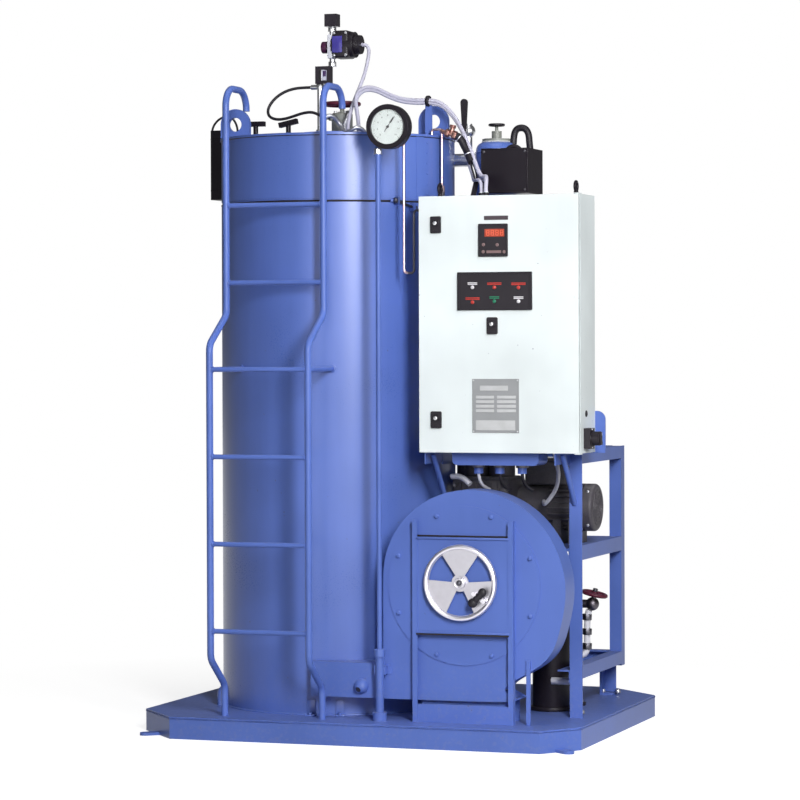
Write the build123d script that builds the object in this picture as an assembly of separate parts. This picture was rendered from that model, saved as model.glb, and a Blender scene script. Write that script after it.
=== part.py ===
from build123d import *
import math
import os

# Vertical coil-type steam boiler on a skid base, with its forced-draught fan,
# control cabinet, feed pump frame and top instruments.
# Millimetres. X runs right along the front edge, Y runs back, Z is up.
# The origin is the centre of the underside of the base.

# Skid base: an octagon of channel with a deck plate
base_length = 1620.0
base_depth = 1330.0
base_height = 77.0
deck_thickness = 6.0
rail_web = 8.0
rail_flange = 45.0
chamfer_front_left = (174.0, 194.0)
chamfer_front_right = (106.0, 136.0)
chamfer_rear_right = (224.0, 210.0)
chamfer_rear_left = (200.0, 200.0)
cross_member_width = 50.0
cross_member_x = (-400.0, 0.0, 400.0)
lug_width = 40.0
lug_reach = 45.0
lug_thickness = 10.0
lug_hole_radius = 9.0

# Drum: casing, upper band, cover and floor
drum_x = -228.0
drum_y = -64.0
drum_radius = 420.0
drum_wall = 6.0
drum_top = 2104.0
upper_band_height = 228.0
seam_groove = 8.0
seam_depth = 3.0
cover_thickness = 8.0
seam_height = drum_top - cover_thickness - upper_band_height
cover_overhang = 4.0
cover_boss_radius = 150.0
cover_boss_height = 22.0
floor_thickness = 6.0
fit_gap = 0.3

# Flue collar at the back of the drum
flue_z = 1650.0
flue_bore_radius = 124.0
flue_wall = 6.0
flue_length = 70.0
flue_flange_radius = 165.0

# Lifting lugs on the cover
eye_offsets = ((-352.0, -111.0), (365.0, 0.0))
eye_width = 112.0
eye_height = 112.0
eye_hole_radius = 25.0
eye_thickness = 16.0

# Ladder: cranked round-bar stiles in front of the drum
stile_left_x = -465.0
stile_right_x = -103.0
stile_radius = 12.0
stile_bend = 45.0
stile_upper_y = -547.0
stile_lower_y = -701.0
stile_foot_y = -576.0
crank_top_z = 1471.0
crank_bottom_z = 1367.0
foot_bend_top_z = 285.0
foot_bend_bottom_z = 185.0
gooseneck_top_z = 2262.0
gooseneck_reach = 190.0
gooseneck_bend = 65.0
gooseneck_end_z = 2192.0
rung_radius = 8.5
rung_first_z = 382.0
rung_pitch = 300.0
rung_count = 5
rung_top_z = 1851.0
standoff_z = 1282.0

# Fan: scroll casing with a tangential duct into the drum
fan_x = 395.0
fan_z = 544.0
fan_front_y = -525.0
fan_depth = 110.0
fan_sheet = 4.0
scroll_left = 292.0
scroll_end_angle = 270
scroll_growth = 34.0
duct_end_x = -165.0
duct_height = 120.0
inlet_cover_radius = 272.0
inlet_cover_thickness = 4.0
inlet_hole_radius = 132.0
impeller_radius = 235.0
impeller_blades = 12
impeller_hub_radius = 45.0
impeller_hub_length = 40.0
impeller_clearance = 12.0
impeller_sheet = 4.0
blade_length = 90.0
blade_angle = 35.0
blade_inset = 8.0
fan_shaft_radius = 14.0
fan_motor_radius = 105.0
fan_motor_length = 260.0
motor_flange_thickness = 20.0
support_thickness = 6.0
support_setback = 20.0
kick_plate_height = 62.0
leg_offset = 40.0
leg_width = 14.0
leg_thickness = 8.0
leg_lap = 60.0

# Damper: sliding plate between angle guides, with a rotating shutter disc
guide_left_x = 218.0
guide_right_x = 578.0
guide_width = 18.0
guide_thickness = 3.0
guide_top_z = 767.0
guide_front_y = -552.0
damper_bottom_z = 382.0
damper_top_z = 709.0
damper_thickness = 4.0
port_clearance = 8.0
port_turn = 60.0
disc_radius = 130.0
disc_rim = 18.0
disc_thickness = 4.0
disc_gap = 14.0
disc_hub_radius = 20.0
disc_inner_radius = 30.0
disc_pin_radius = 7.0
disc_hub_proud = 12.0
wing_size = (58.0, 14.0)
wing_reach = 84.0
wing_angle = -35.0
disc_z = 557.0
sector_angle = 52.0

# Support frame of angle iron to the right of the drum
angle_size = 45.0
angle_thickness = 5.0
frame_right_x = 745.0
frame_rear_right_x = 697.0
frame_left_x = 230.0
frame_front_y = -286.0
frame_rear_y = 452.0
frame_top = 992.0
mid_rail_top = 655.0
low_rail_top = 240.0
rear_foot_shift = 32.0
rear_foot_width = 52.0
foot_plate_thickness = 8.0
shelf_thickness = 6.0

# Control cabinet and its door
cabinet_left = 224.0
cabinet_right = 793.0
cabinet_bottom = 995.0
cabinet_top = 1874.0
cabinet_depth = 180.0
cabinet_back_y = frame_front_y
cabinet_wall = 2.5
door_thickness = 20.0
door_gap = 2.0
door_side_gap = 1.0
door_rim = 12.0
hinge_inset = 8.0
hinge_pin_radius = 4.0
hinge_tab_thickness = 3.0
hinge_tab_inset = 2.0
hinge_tab_lap = 20.0

# Cabinet fittings, measured from the door's lower left corner
lock_size = (38.0, 58.0)
lock_places = ((62.0, 780.0), (62.0, 113.0), (264.0, 434.0))
controller_size = (104.0, 112.0)
controller_place = (268.0, 725.0)
annunciator_size = (266.0, 130.0)
annunciator_place = (273.0, 552.0)
fitting_proud = 6.0
lock_corner = 5.0
lock_knob_radius = 9.0
lock_knob_reach = 8.0
lock_knob_rise = 6.0
fitting_corner = 3.0

# Cable tray, isolator and lifting eyes of the cabinet
tray_place = 256.0
tray_size = (310.0, 110.0, 44.0)
tray_inset = 40.0
tray_corner = 18.0
tray_gland_shifts = (-77.0, -1.0, 80.0)
tray_gland_radius = 16.0
tray_gland_length = 30.0
isolator_size = (22.0, 60.0, 70.0)
isolator_inset = 114.0
isolator_rise = 50.0
isolator_knob_radius = 24.0
isolator_knob_length = 28.0
roof_eye_inset = 40.0
roof_eye_stem_height = 14.0
roof_eye_stem_radius = 8.0
roof_eye_radius = 16.0
roof_eye_bar_radius = 5.0

# Brackets between the frame and the cabinet
bracket_width = 40.0
bracket_sheet = 4.0
brace_drop = 180.0
brace_inset = 30.0
brace_radius = 9.0
side_plate_size = (128.0, 144.0)
side_plate_reach = 84.0
side_plate_thickness = 6.0
side_plate_corner = 30.0

# Feed pump set on the middle shelf
pump_axis_y = 0.0
pump_centre_z = 788.0
pump_motor_radius = 84.0
pump_motor_left = 556.0
pump_motor_right = 722.0
motor_cowl_length = 40.0
cowl_rounding = 12.0
fin_count = 24
fin_thickness = 3.0
fin_height = 10.0
fin_root = 2.0
motor_foot_inset = 20.0
motor_foot_width = 30.0
motor_foot_reach = 70.0
pump_body_left = 300.0
pump_body_radius = 78.0
pump_stand_inset = 30.0
pump_stand_size = (100.0, 110.0)
pump_outlet_radius = 22.0
pump_outlet_height = 120.0

# Steam separator behind the cabinet, on its stand across the frame
separator_x = 320.0
separator_y = 100.0
separator_radius = 75.0
separator_top = 2092.0
separator_bottom = 1090.0
separator_end_radius = 30.0
outlet_z = 1900.0
outlet_bore_radius = 20.0
outlet_wall = 5.0
outlet_length = 60.0
outlet_flange_radius = 70.0
outlet_flange_thickness = 14.0
outlet_bolt_circle = 105.0
outlet_bolt_radius = 7.0
stand_leg_spacing = 74.0
stand_leg_width = 80.0
stand_leg_lap = 40.0
stand_plate_width = 120.0
stand_plate_thickness = 6.0

# Gauge on its stand pipe in front of the fan casing
gauge_x = 144.0
gauge_z = 2109.0
gauge_radius = 76.0
gauge_depth = 50.0
gauge_bezel = 16.0
gauge_recess = 10.0
gauge_rounding = 10.0
stand_clearance = 35.0
stand_offset = 42.0
stand_upper_radius = 9.0
stand_lower_radius = 14.0
stand_lower_height = 223.0
stand_foot_radius = 24.0
stand_foot_height = 30.0
gauge_bracket_size = (60.0, 40.0, 30.0)
gauge_bracket_drop = 4.0
gauge_bracket_plate = 6.0

# Instrument riser, yoke and pressure switch above the cover
riser_offset = -69.0
riser_radius = 10.0
cable_drop = 11.0
cable_reach = 33.0
riser_height = 181.0
yoke_size = (57.0, 30.0, 63.0)
yoke_wall = 12.0
upper_riser_shift = 48.0
upper_riser_height = 142.0
riser_head_size = (46.0, 40.0, 45.0)
switch_height = 74.0
switch_radius = 46.0
switch_length = 79.0
switch_cap_radius = 34.0
switch_cap_length = 23.0

# Top valve beside the riser
top_valve_offset = 16.0
top_valve_radius = 38.0
top_valve_height = 74.0
top_valve_rounding = 8.0
top_wheel_radius = 68.0
wheel_rim_radius = 8.0
wheel_hub_radius = 13.0
top_stem_radius = 8.0
top_stem_length = 22.0

# Cover clamps and the ignition box strapped to the left of the band
clamp_offsets = ((-305.0, 0.0), (-178.0, 12.0))
clamp_y = -36.0
clamp_post_radius = 9.0
clamp_post_height = 54.0
clamp_bar_size = (70.0, 22.0, 18.0)
ignition_size = (65.0, 150.0, 254.0)
ignition_drop = 46.0
ignition_gap = 14.0
ignition_pad_size = (100.0, 140.0)
ignition_y = 15.0

# Post on the cover that the cables are tied to
post_offset = 370.5
post_width = 25.0
post_thickness = 6.0
post_height = 122.0

# Steam line from the drum, with its upright lever valve
line_drop = 74.0
line_radius = 24.0
lever_valve_x = 212.0
lever_valve_rise = 105.0
lever_valve_radius = 26.0
lever_valve_neck = 15.0
lever_stem_radius = 10.0
lever_stem_reach = 40.0
lever_thickness = 10.0
lever_length = 113.0
lever_foot_width = 14.0
lever_head_width = 26.0

# Valves on the separator
top_fitting_radius = 52.0
top_fitting_height = 12.0
top_neck_radius = 18.0
top_neck_height = 28.0
small_stem_radius = 6.0
small_stem_length = 16.0
separator_wheel_radius = 30.0
separator_wheel_rim = 5.0
side_valve_drop = 52.0
side_valve_reach = 92.0
side_valve_radius = 18.0
side_bonnet_radius = 12.0
side_bonnet_length = 82.1
side_wheel_radius = 38.0

# Burner control box on its bracket from the separator
control_box_size = (172.0, 180.0, 158.0)
control_box_gap = 35.0
control_bracket_gap = 40.0
control_box_shift = 33.0
control_box_drop = 40.0
control_bracket_z = (1920.0, 1985.0)

# Feed inlet pipe and valve between the right posts
inlet_x = 612.0
inlet_y = 75.0
inlet_z = 440.0
inlet_reach = 68.0
inlet_radius = 15.0
inlet_bend = 26.0
inlet_flange_radius = 42.0
inlet_flange_thickness = 10.0
union_radius = 24.0
union_length = 30.0
union_heights = (300.0, 360.0)
inlet_body_radius = 24.0
inlet_wheel_radius = 48.0
inlet_wheel_rim = 7.0
inlet_wheel_hub = 12.0
inlet_stem_radius = 9.0
inlet_stem_length = 28.2
inlet_tilt = 12.7

# Copper: capillary loop into the cabinet and a short drop tube at the right of the drum
copper_radius = 4.5
copper_end_radius = 10.0
capillary_offset = (330.0, -232.0)
capillary_y = -420.0
capillary_rise = 25.0
capillary_dip = 20.0
capillary_gap = 77.0
capillary_loop_width = 36.0
capillary_loop_height = 216.0
capillary_entry_drop = 45.0
capillary_bend = 12.0
drop_inset = 27.0
drop_shift_y = -106.0
drop_rise = 20.0
drop_reach = 10.0
drop_length = 178.0
drop_fitting = 36.0
drop_bend = 9.0

# Drain at the foot of the drum
drain_offset = (-372.0, -226.0)
drain_height = 63.0
drain_reach = 40.0
drain_radius = 12.0

# Cable routes, each from the face of one gland to the face of the next
gland_radius = 9.0
gland_height = 18.0
conduit_diameter = 10.0
lead_diameter = 7.0
cable_diameter = 7.0
ignition_lead_diameter = 6.0
# Places that follow from the sizes above
gauge_y = fan_front_y - stand_clearance
post_setback = 70.0
post_y = drum_y - post_setback
control_box_back = separator_y - separator_radius - control_box_gap

cover_gland_places = ((-140.0, -200.0), (-106.0, -182.0), (-634.0, -24.0))
roof_gland_places = ((418.0, -338.0), (392.0, -308.0))
line_gland_x = 235.0
valve_gland_z = 2180.0
valve_gland_reach = 50.0
switch_route = (
    (-137, -64, 2444), (-126, -64, 2444), (-114, -66, 2438), (-107, -69, 2426),
    (-106, -74, 2404), (-111, -83, 2362), (-121, -95, 2316), (-136, -112, 2268),
    (-146, -138, 2220), (-142, -176, 2180), (-140, -200, 2150), (-140, -200, 2122),
)
conduit_route = (
    (-106, -182, 2122), (-106, -182, 2158), (-114, -180, 2200), (-121, -174, 2238),
    (-113, -168, 2266), (-88, -162, 2283), (-50, -157, 2279), (-8, -154, 2257),
    (40, -151, 2238), (92, -148, 2231), (142, -145.3, 2231), (186, -147, 2224),
    (226, -150, 2192), (258, -152, 2148), (284, -158, 2100), (308, -170, 2052),
    (330, -190, 2008), (352, -216, 1970), (374, -246, 1950), (396, -280, 1948),
    (410, -310, 1947), (417, -330, 1934), (418, -338, 1914), (418, -338, 1892),
)
cabinet_route = (
    (235, 58, 2030), (235, 38, 2030), (242, 10, 2018), (258, -24, 1998),
    (277, -62, 1978), (296, -106, 1960), (314, -155, 1947), (332, -205, 1938),
    (353, -249, 1938), (371, -279, 1939), (385, -298, 1932), (392, -308, 1914),
    (392, -308, 1892),
)
riser_route = (
    (-330, -64, 2296), (-354, -64, 2296), (-394, -68, 2294), (-434, -76, 2281),
    (-467, -86, 2256), (-487, -97, 2222), (-482, -105, 2194), (-455, -110, 2180),
    (-418, -112, 2180), (-380, -113, 2190), (-342, -114, 2201), (-306, -117, 2203),
    (-277, -119, 2190), (-258, -110, 2180), (-247.4, -99.4, 2180),
)
ignition_route = (
    (-727, 15, 2130), (-737, 15, 2130), (-746.5, 15, 2135.5), (-752, 15, 2146),
    (-751, 14, 2160), (-742, 12, 2178), (-722, 8, 2196), (-694, 2, 2206),
    (-664, -10, 2200), (-643, -20, 2178), (-634, -24, 2150), (-634, -24, 2122),
)


def block(x_range, y_range, z_range):
    """Rectangular solid between two limits on each axis."""
    size = [high - low for low, high in (x_range, y_range, z_range)]
    middle = [(low + high) / 2 for low, high in (x_range, y_range, z_range)]
    return Pos(*middle) * Box(*size)


def rod(start, end, radius):
    """Round bar between two points."""
    axis = Vector(*end) - Vector(*start)
    return extrude(Plane(origin=start, z_dir=axis) * Circle(radius), axis.length)


def bent_bar(points, radius, bend):
    """Round bar along straight runs joined by bends of one radius."""
    path = FilletPolyline(*points, radius=bend)
    section = Plane(origin=path @ 0, z_dir=path % 0) * Circle(radius)
    return sweep(section, path=path)


def front_plane(y):
    """Upright sketch plane at depth y, seen from the front: local x right, local y up."""
    return Plane(origin=(0, y, 0), x_dir=(1, 0, 0), z_dir=(0, -1, 0))


def handwheel(outer_radius, rim_radius, hub_radius, spokes):
    """Spoked wheel about the local Z axis, centred on its rim."""
    ring_radius = outer_radius - rim_radius
    wheel = Torus(ring_radius, rim_radius) + Cylinder(hub_radius, 2.4 * rim_radius)
    spoke = Pos(ring_radius / 2, 0, 0) * Box(ring_radius, 1.4 * rim_radius, rim_radius)
    for index in range(spokes):
        wheel += Rot(0, 0, 360 / spokes * index) * spoke
    return wheel


def wheel_seat(rim_radius):
    """Height of a wheel's middle above its stem end, with the hub just clear of the stem."""
    return 1.2 * rim_radius + fit_gap


def save(name, shape):
    """Write one sub-part to its own file."""
    shape.label = name
    export_step(shape, f"parts/{name}.step")


def base_outline():
    """Octagon of the base, with a chamfer of its own at each corner."""
    half_x = base_length / 2
    half_y = base_depth / 2
    points = []
    corners = (
        (-1, -1, chamfer_front_left),
        (1, -1, chamfer_front_right),
        (1, 1, chamfer_rear_right),
        (-1, 1, chamfer_rear_left),
    )
    for side_x, side_y, (cut_x, cut_y) in corners:
        along_x = (side_x * (half_x - cut_x), side_y * half_y)
        along_y = (side_x * half_x, side_y * (half_y - cut_y))
        pair = [along_y, along_x] if side_x == side_y else [along_x, along_y]
        points.extend(pair)
    return make_face(Polyline(*points, close=True))


def make_base():
    """Channel perimeter open to the inside, cross members, deck plate and anchor lugs."""
    outline = base_outline()
    rail_top = base_height - deck_thickness
    web = outline - offset(base_outline(), -rail_web)
    flange = outline - offset(base_outline(), -rail_flange)
    perimeter = extrude(web, rail_top)
    for z in (0, rail_top - rail_web):
        perimeter += Pos(0, 0, z) * extrude(flange, rail_web)
    save("base_perimeter", perimeter)

    half_span = base_depth / 2 - rail_flange
    half_width = cross_member_width / 2
    members = []
    for x in cross_member_x:
        outer = block((x - half_width, x + half_width), (-half_span, half_span), (0, rail_top))
        hollow = block(
            (x - half_width + rail_web, x + half_width - rail_web),
            (-half_span, half_span),
            (rail_web, rail_top - rail_web),
        )
        members.append(outer - hollow)
    save("base_cross_members", Compound(members))
    save("base_deck", Pos(0, 0, rail_top) * extrude(base_outline(), deck_thickness))
    make_anchor_lugs(outline)


def make_anchor_lugs(outline):
    """A floor plate with one bolt hole, welded to the middle of each corner face."""
    half_x = base_length / 2
    half_y = base_depth / 2
    corners = (
        (-1, -1, chamfer_front_left),
        (1, -1, chamfer_front_right),
        (1, 1, chamfer_rear_right),
        (-1, 1, chamfer_rear_left),
    )
    lugs = []
    for side_x, side_y, (cut_x, cut_y) in corners:
        middle = (side_x * (half_x - cut_x / 2), side_y * (half_y - cut_y / 2))
        outward = math.degrees(math.atan2(side_y * cut_x, side_x * cut_y))
        tab = Rectangle(lug_reach, lug_width, align=(Align.MIN, Align.CENTER))
        tab += Pos(lug_reach, 0) * Circle(lug_width / 2)
        tab -= Pos(lug_reach, 0) * Circle(lug_hole_radius)
        lugs.append(extrude(Pos(*middle) * Rot(0, 0, outward) * tab, lug_thickness))
    save("anchor_lugs", Compound(lugs))


def make_drum():
    """Casing, upper band with a seam groove, cover plate with a burner boss, and floor."""
    deck = Pos(drum_x, drum_y, base_height)
    inner = drum_radius - drum_wall
    shell_height = seam_height - base_height
    shell = Circle(drum_radius) - Circle(inner)
    save("drum_shell", deck * extrude(shell, shell_height))

    band_height = drum_top - cover_thickness - seam_height
    band = Pos(drum_x, drum_y, seam_height) * extrude(shell, band_height)
    groove = Circle(drum_radius) - Circle(drum_radius - seam_depth)
    band -= Pos(drum_x, drum_y, seam_height) * extrude(groove, seam_groove)
    save("drum_upper_band", band)

    cover_radius = drum_radius + cover_overhang
    cover = Pos(0, 0, cover_thickness / 2) * Cylinder(cover_radius, cover_thickness)
    boss_z = cover_thickness + cover_boss_height / 2
    cover += Pos(0, 0, boss_z) * Cylinder(cover_boss_radius, cover_boss_height)
    cover = Pos(drum_x, drum_y, drum_top - cover_thickness) * cover
    for x, y in cover_gland_places:
        cover += rod((x, y, drum_top), (x, y, drum_top + gland_height), gland_radius)
    save("drum_cover", cover)

    floor = Cylinder(inner - fit_gap, floor_thickness)
    save("drum_floor", Pos(drum_x, drum_y, base_height + floor_thickness / 2) * floor)


def make_lifting_lugs():
    """Two arch-topped plates with a large eye, standing on the cover."""
    arch_radius = eye_width / 2
    lugs = []
    for offset_x, offset_y in eye_offsets:
        lug = Rectangle(eye_width, eye_height - arch_radius, align=(Align.CENTER, Align.MIN))
        lug += Pos(0, eye_height - arch_radius) * Circle(arch_radius)
        lug -= Pos(0, eye_height - arch_radius) * Circle(eye_hole_radius)
        plane = front_plane(drum_y + eye_thickness / 2)
        plate = extrude(plane * lug, eye_thickness)
        lugs.append(Pos(drum_x + offset_x, offset_y, drum_top) * plate)
    save("lifting_lugs", Compound(lugs))


def stile_points(x):
    """Centre line of one stile, from its foot on the deck to where its gooseneck begins."""
    return [
        (x, stile_foot_y, base_height),
        (x, stile_foot_y, foot_bend_bottom_z),
        (x, stile_lower_y, foot_bend_top_z),
        (x, stile_lower_y, crank_bottom_z),
        (x, stile_upper_y, crank_top_z),
        (x, stile_upper_y, rung_top_z),
    ]


def gooseneck_points(x):
    """Centre line of the hooked top of one stile, back over the cover."""
    return [
        (x, stile_upper_y, rung_top_z),
        (x, stile_upper_y, gooseneck_top_z),
        (x, stile_upper_y + gooseneck_reach, gooseneck_top_z),
        (x, stile_upper_y + gooseneck_reach, gooseneck_end_z),
    ]


def make_ladder():
    """Two cranked stiles, six rungs between them and a stand-off from each to the drum."""
    for name, x in (("ladder_stile_left", stile_left_x), ("ladder_stile_right", stile_right_x)):
        lower = bent_bar(stile_points(x), stile_radius, stile_bend)
        save(name, lower + bent_bar(gooseneck_points(x), stile_radius, gooseneck_bend))

    heights = [rung_first_z + rung_pitch * index for index in range(rung_count)]
    heights.append(rung_top_z)
    rungs = []
    for z in heights:
        y = stile_lower_y if z < crank_bottom_z else stile_upper_y
        left = (stile_left_x + stile_radius, y, z)
        right = (stile_right_x - stile_radius, y, z)
        rungs.append(rod(left, right, rung_radius))

    for x in (stile_left_x, stile_right_x):
        bar = rod((x, stile_lower_y + stile_radius, standoff_z), (x, drum_y, standoff_z), rung_radius)
        drum_core = Pos(drum_x, drum_y, standoff_z) * Cylinder(drum_radius, 4 * rung_radius)
        rungs.append(bar - drum_core)
    save("ladder_rungs", Compound(rungs))


def scroll_radius(angle):
    """Radius of the fan scroll at an angle in degrees clockwise from the left."""
    return scroll_left + scroll_growth * angle / 90.0


def scroll_face(inset):
    """Outline of the fan casing and its duct, moved inwards by an inset."""
    points = []
    for step in range(13):
        angle = 22.5 * step
        radius = scroll_radius(angle) - inset
        radians = math.radians(180 - angle)
        points.append((fan_x + radius * math.cos(radians), fan_z + radius * math.sin(radians)))
    bottom = points[-1][1]
    duct_top = fan_z - scroll_radius(scroll_end_angle) + duct_height - inset
    end_x = duct_end_x + inset
    scroll = Spline(*points, tangents=((0, 1), (-1, 0)))
    duct = Polyline(points[-1], (end_x, bottom), (end_x, duct_top), (points[0][0], duct_top), points[0])
    return make_face(scroll + duct)


def make_fan():
    """Sheet-metal scroll casing, bolted inlet cover, impeller and its motor."""
    back_y = fan_front_y + fan_depth
    duct_core = Pos(drum_x, drum_y, base_height) * extrude(Circle(drum_radius), fan_z)
    shaft_hole = Pos(fan_x, fan_z) * Circle(fan_shaft_radius + fit_gap)
    opening = Pos(fan_x, fan_z) * Circle(inlet_hole_radius)
    front = extrude(front_plane(fan_front_y + fan_sheet) * (scroll_face(0) - opening), fan_sheet)
    back = extrude(front_plane(back_y) * (scroll_face(0) - shaft_hole), fan_sheet)
    rim = scroll_face(0) - scroll_face(fan_sheet)
    wrapper = extrude(front_plane(back_y - fan_sheet) * rim, fan_depth - 2 * fan_sheet)
    casing = Compound([sheet - duct_core for sheet in (front, back, wrapper)])
    save("fan_casing", casing)

    ring = Pos(fan_x, fan_z) * (Circle(inlet_cover_radius) - Circle(inlet_hole_radius))
    save("fan_inlet_cover", extrude(front_plane(fan_front_y) * ring, inlet_cover_thickness))

    disc_y = back_y - fan_sheet - impeller_clearance
    centre = Pos(fan_x, fan_z)
    impeller = extrude(front_plane(disc_y) * centre * Circle(impeller_radius), impeller_sheet)
    impeller += rod((fan_x, disc_y, fan_z), (fan_x, disc_y - impeller_hub_length, fan_z), impeller_hub_radius)
    blade_profile = Rectangle(blade_length, impeller_sheet)
    blade_centre = impeller_radius - blade_length * math.cos(math.radians(blade_angle)) / 2 - blade_inset
    blade_depth = fan_depth - 2 * fan_sheet - 2 * impeller_clearance
    for index in range(impeller_blades):
        turn = 360 / impeller_blades * index
        blade = centre * Rot(0, 0, turn) * Pos(blade_centre, 0) * Rot(0, 0, blade_angle) * blade_profile
        impeller += extrude(front_plane(disc_y) * blade, blade_depth)
    shaft_end = back_y + motor_flange_thickness
    impeller += rod((fan_x, shaft_end, fan_z), (fan_x, disc_y, fan_z), fan_shaft_radius)
    save("fan_impeller", impeller)

    flange = rod((fan_x, back_y, fan_z), (fan_x, shaft_end, fan_z), fan_motor_radius + motor_flange_thickness)
    body = rod((fan_x, shaft_end, fan_z), (fan_x, back_y + fan_motor_length, fan_z), fan_motor_radius)
    bore = rod((fan_x, back_y, fan_z), (fan_x, shaft_end, fan_z), fan_shaft_radius + fit_gap)
    save("fan_motor", flange + body - bore)


def make_fan_support():
    """Foot plates under the casing, the low plate behind the guides and one strap leg."""
    bottom = fan_z - scroll_radius(scroll_end_angle)
    kick_back = guide_front_y + guide_thickness + support_thickness
    kick_left = guide_left_x + guide_thickness
    kick_right = guide_right_x - guide_thickness
    plates = [block(
        (kick_left, kick_right),
        (kick_back - support_thickness, kick_back),
        (base_height, base_height + kick_plate_height),
    )]
    left = guide_left_x + guide_width
    right = guide_right_x - guide_width
    back_y = fan_front_y + fan_depth
    for y in (fan_front_y + support_setback, back_y - support_thickness):
        plates.append(block((left, right), (y, y + support_thickness), (base_height, bottom)))
    leg_left = guide_right_x + leg_offset
    scroll_drop = math.sqrt(scroll_radius(235) ** 2 - (leg_left - fan_x) ** 2)
    plates.append(block(
        (leg_left, leg_left + leg_width),
        (fan_front_y - leg_thickness, fan_front_y),
        (base_height, fan_z - scroll_drop + leg_lap),
    ))
    save("fan_support", Compound(plates))


def make_damper():
    """Angle guides, damper plate with three ports, and the shutter disc with its wing."""
    guides = []
    web_depth = fan_front_y - inlet_cover_thickness - guide_front_y
    for x, side in ((guide_left_x, 1), (guide_right_x, -1)):
        flange_range = sorted((x, x + side * guide_width))
        web_range = sorted((x, x + side * guide_thickness))
        z_range = (base_height, guide_top_z)
        guide = block(flange_range, (guide_front_y, guide_front_y + guide_thickness), z_range)
        guide += block(web_range, (guide_front_y, guide_front_y + web_depth), z_range)
        guides.append(guide)
    save("damper_guides", Compound(guides))

    plate_front = guide_front_y + guide_thickness
    plate_left = guide_left_x + guide_thickness + fit_gap
    plate_right = guide_right_x - guide_thickness - fit_gap
    width = plate_right - plate_left
    height = damper_top_z - damper_bottom_z
    middle = ((plate_left + plate_right) / 2, (damper_bottom_z + damper_top_z) / 2)
    outline = Pos(*middle) * Rectangle(width, height)
    port_outer = disc_radius - disc_rim - port_clearance / 2
    outline -= disc_sectors(disc_z, disc_inner_radius + port_clearance, port_outer, 30 + port_turn)
    outline -= Pos(fan_x, disc_z) * Circle(disc_pin_radius + fit_gap)
    plate = extrude(front_plane(plate_front + damper_thickness) * outline, damper_thickness)
    save("damper_plate", plate)

    disc_back = plate_front - disc_gap
    face = Pos(fan_x, disc_z) * Circle(disc_radius)
    face -= disc_sectors(disc_z, disc_inner_radius, disc_radius - disc_rim, 30)
    disc = extrude(front_plane(disc_back) * face, disc_thickness)
    hub_front = disc_back - disc_thickness - disc_hub_proud
    disc += rod((fan_x, disc_back, disc_z), (fan_x, hub_front, disc_z), disc_hub_radius)
    disc += rod((fan_x, disc_back, disc_z), (fan_x, plate_front + damper_thickness, disc_z), disc_pin_radius)
    save("damper_disc", disc)

    wing = Pos(fan_x, disc_z) * Rot(0, 0, wing_angle) * Pos(wing_reach, 0) * SlotOverall(*wing_size)
    save("damper_wing", extrude(front_plane(disc_back - disc_thickness) * wing, wing_size[1]))


def disc_sectors(centre_z, inner, outer, first_angle):
    """Three ring sectors about the damper centre, spaced evenly."""
    ring = Circle(outer) - Circle(inner)
    half = math.radians(sector_angle / 2)
    reach = outer * 1.5
    wedge = make_face(Polyline(
        (0, 0),
        (reach * math.cos(half), -reach * math.sin(half)),
        (reach * math.cos(half), reach * math.sin(half)),
        close=True,
    ))
    sector = ring & wedge
    sectors = Sketch()
    for index in range(3):
        sectors += Pos(fan_x, centre_z) * Rot(0, 0, first_angle + 120 * index) * sector
    return sectors


def angle_bar(start, end, leg_a, leg_b):
    """Angle iron between two points on its outer corner, with its legs pointing as given."""
    along = Vector(*end) - Vector(*start)
    plane = Plane(origin=start, x_dir=leg_a, z_dir=along)
    side = 1 if plane.y_dir.dot(Vector(*leg_b)) > 0 else -1
    profile = make_face(Polyline(
        (0, 0),
        (angle_size, 0),
        (angle_size, side * angle_thickness),
        (angle_thickness, side * angle_thickness),
        (angle_thickness, side * angle_size),
        (0, side * angle_size),
        close=True,
    ))
    return extrude(plane * profile, along.length)


def make_rear_foot(rear_face, rear_bottom):
    """Foot of the rear right post, set in towards the drum: base plate, upright and top plate."""
    foot_right = frame_rear_right_x - rear_foot_shift
    foot_left = foot_right - rear_foot_width
    rear = (rear_face, frame_rear_y)
    plate = foot_plate_thickness
    foot = block((foot_left, foot_right), rear, (base_height, base_height + plate))
    foot += block((foot_left, foot_left + plate), rear, (base_height, rear_bottom))
    foot += block((foot_left, frame_rear_right_x), rear, (rear_bottom - plate, rear_bottom))
    return foot


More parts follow.
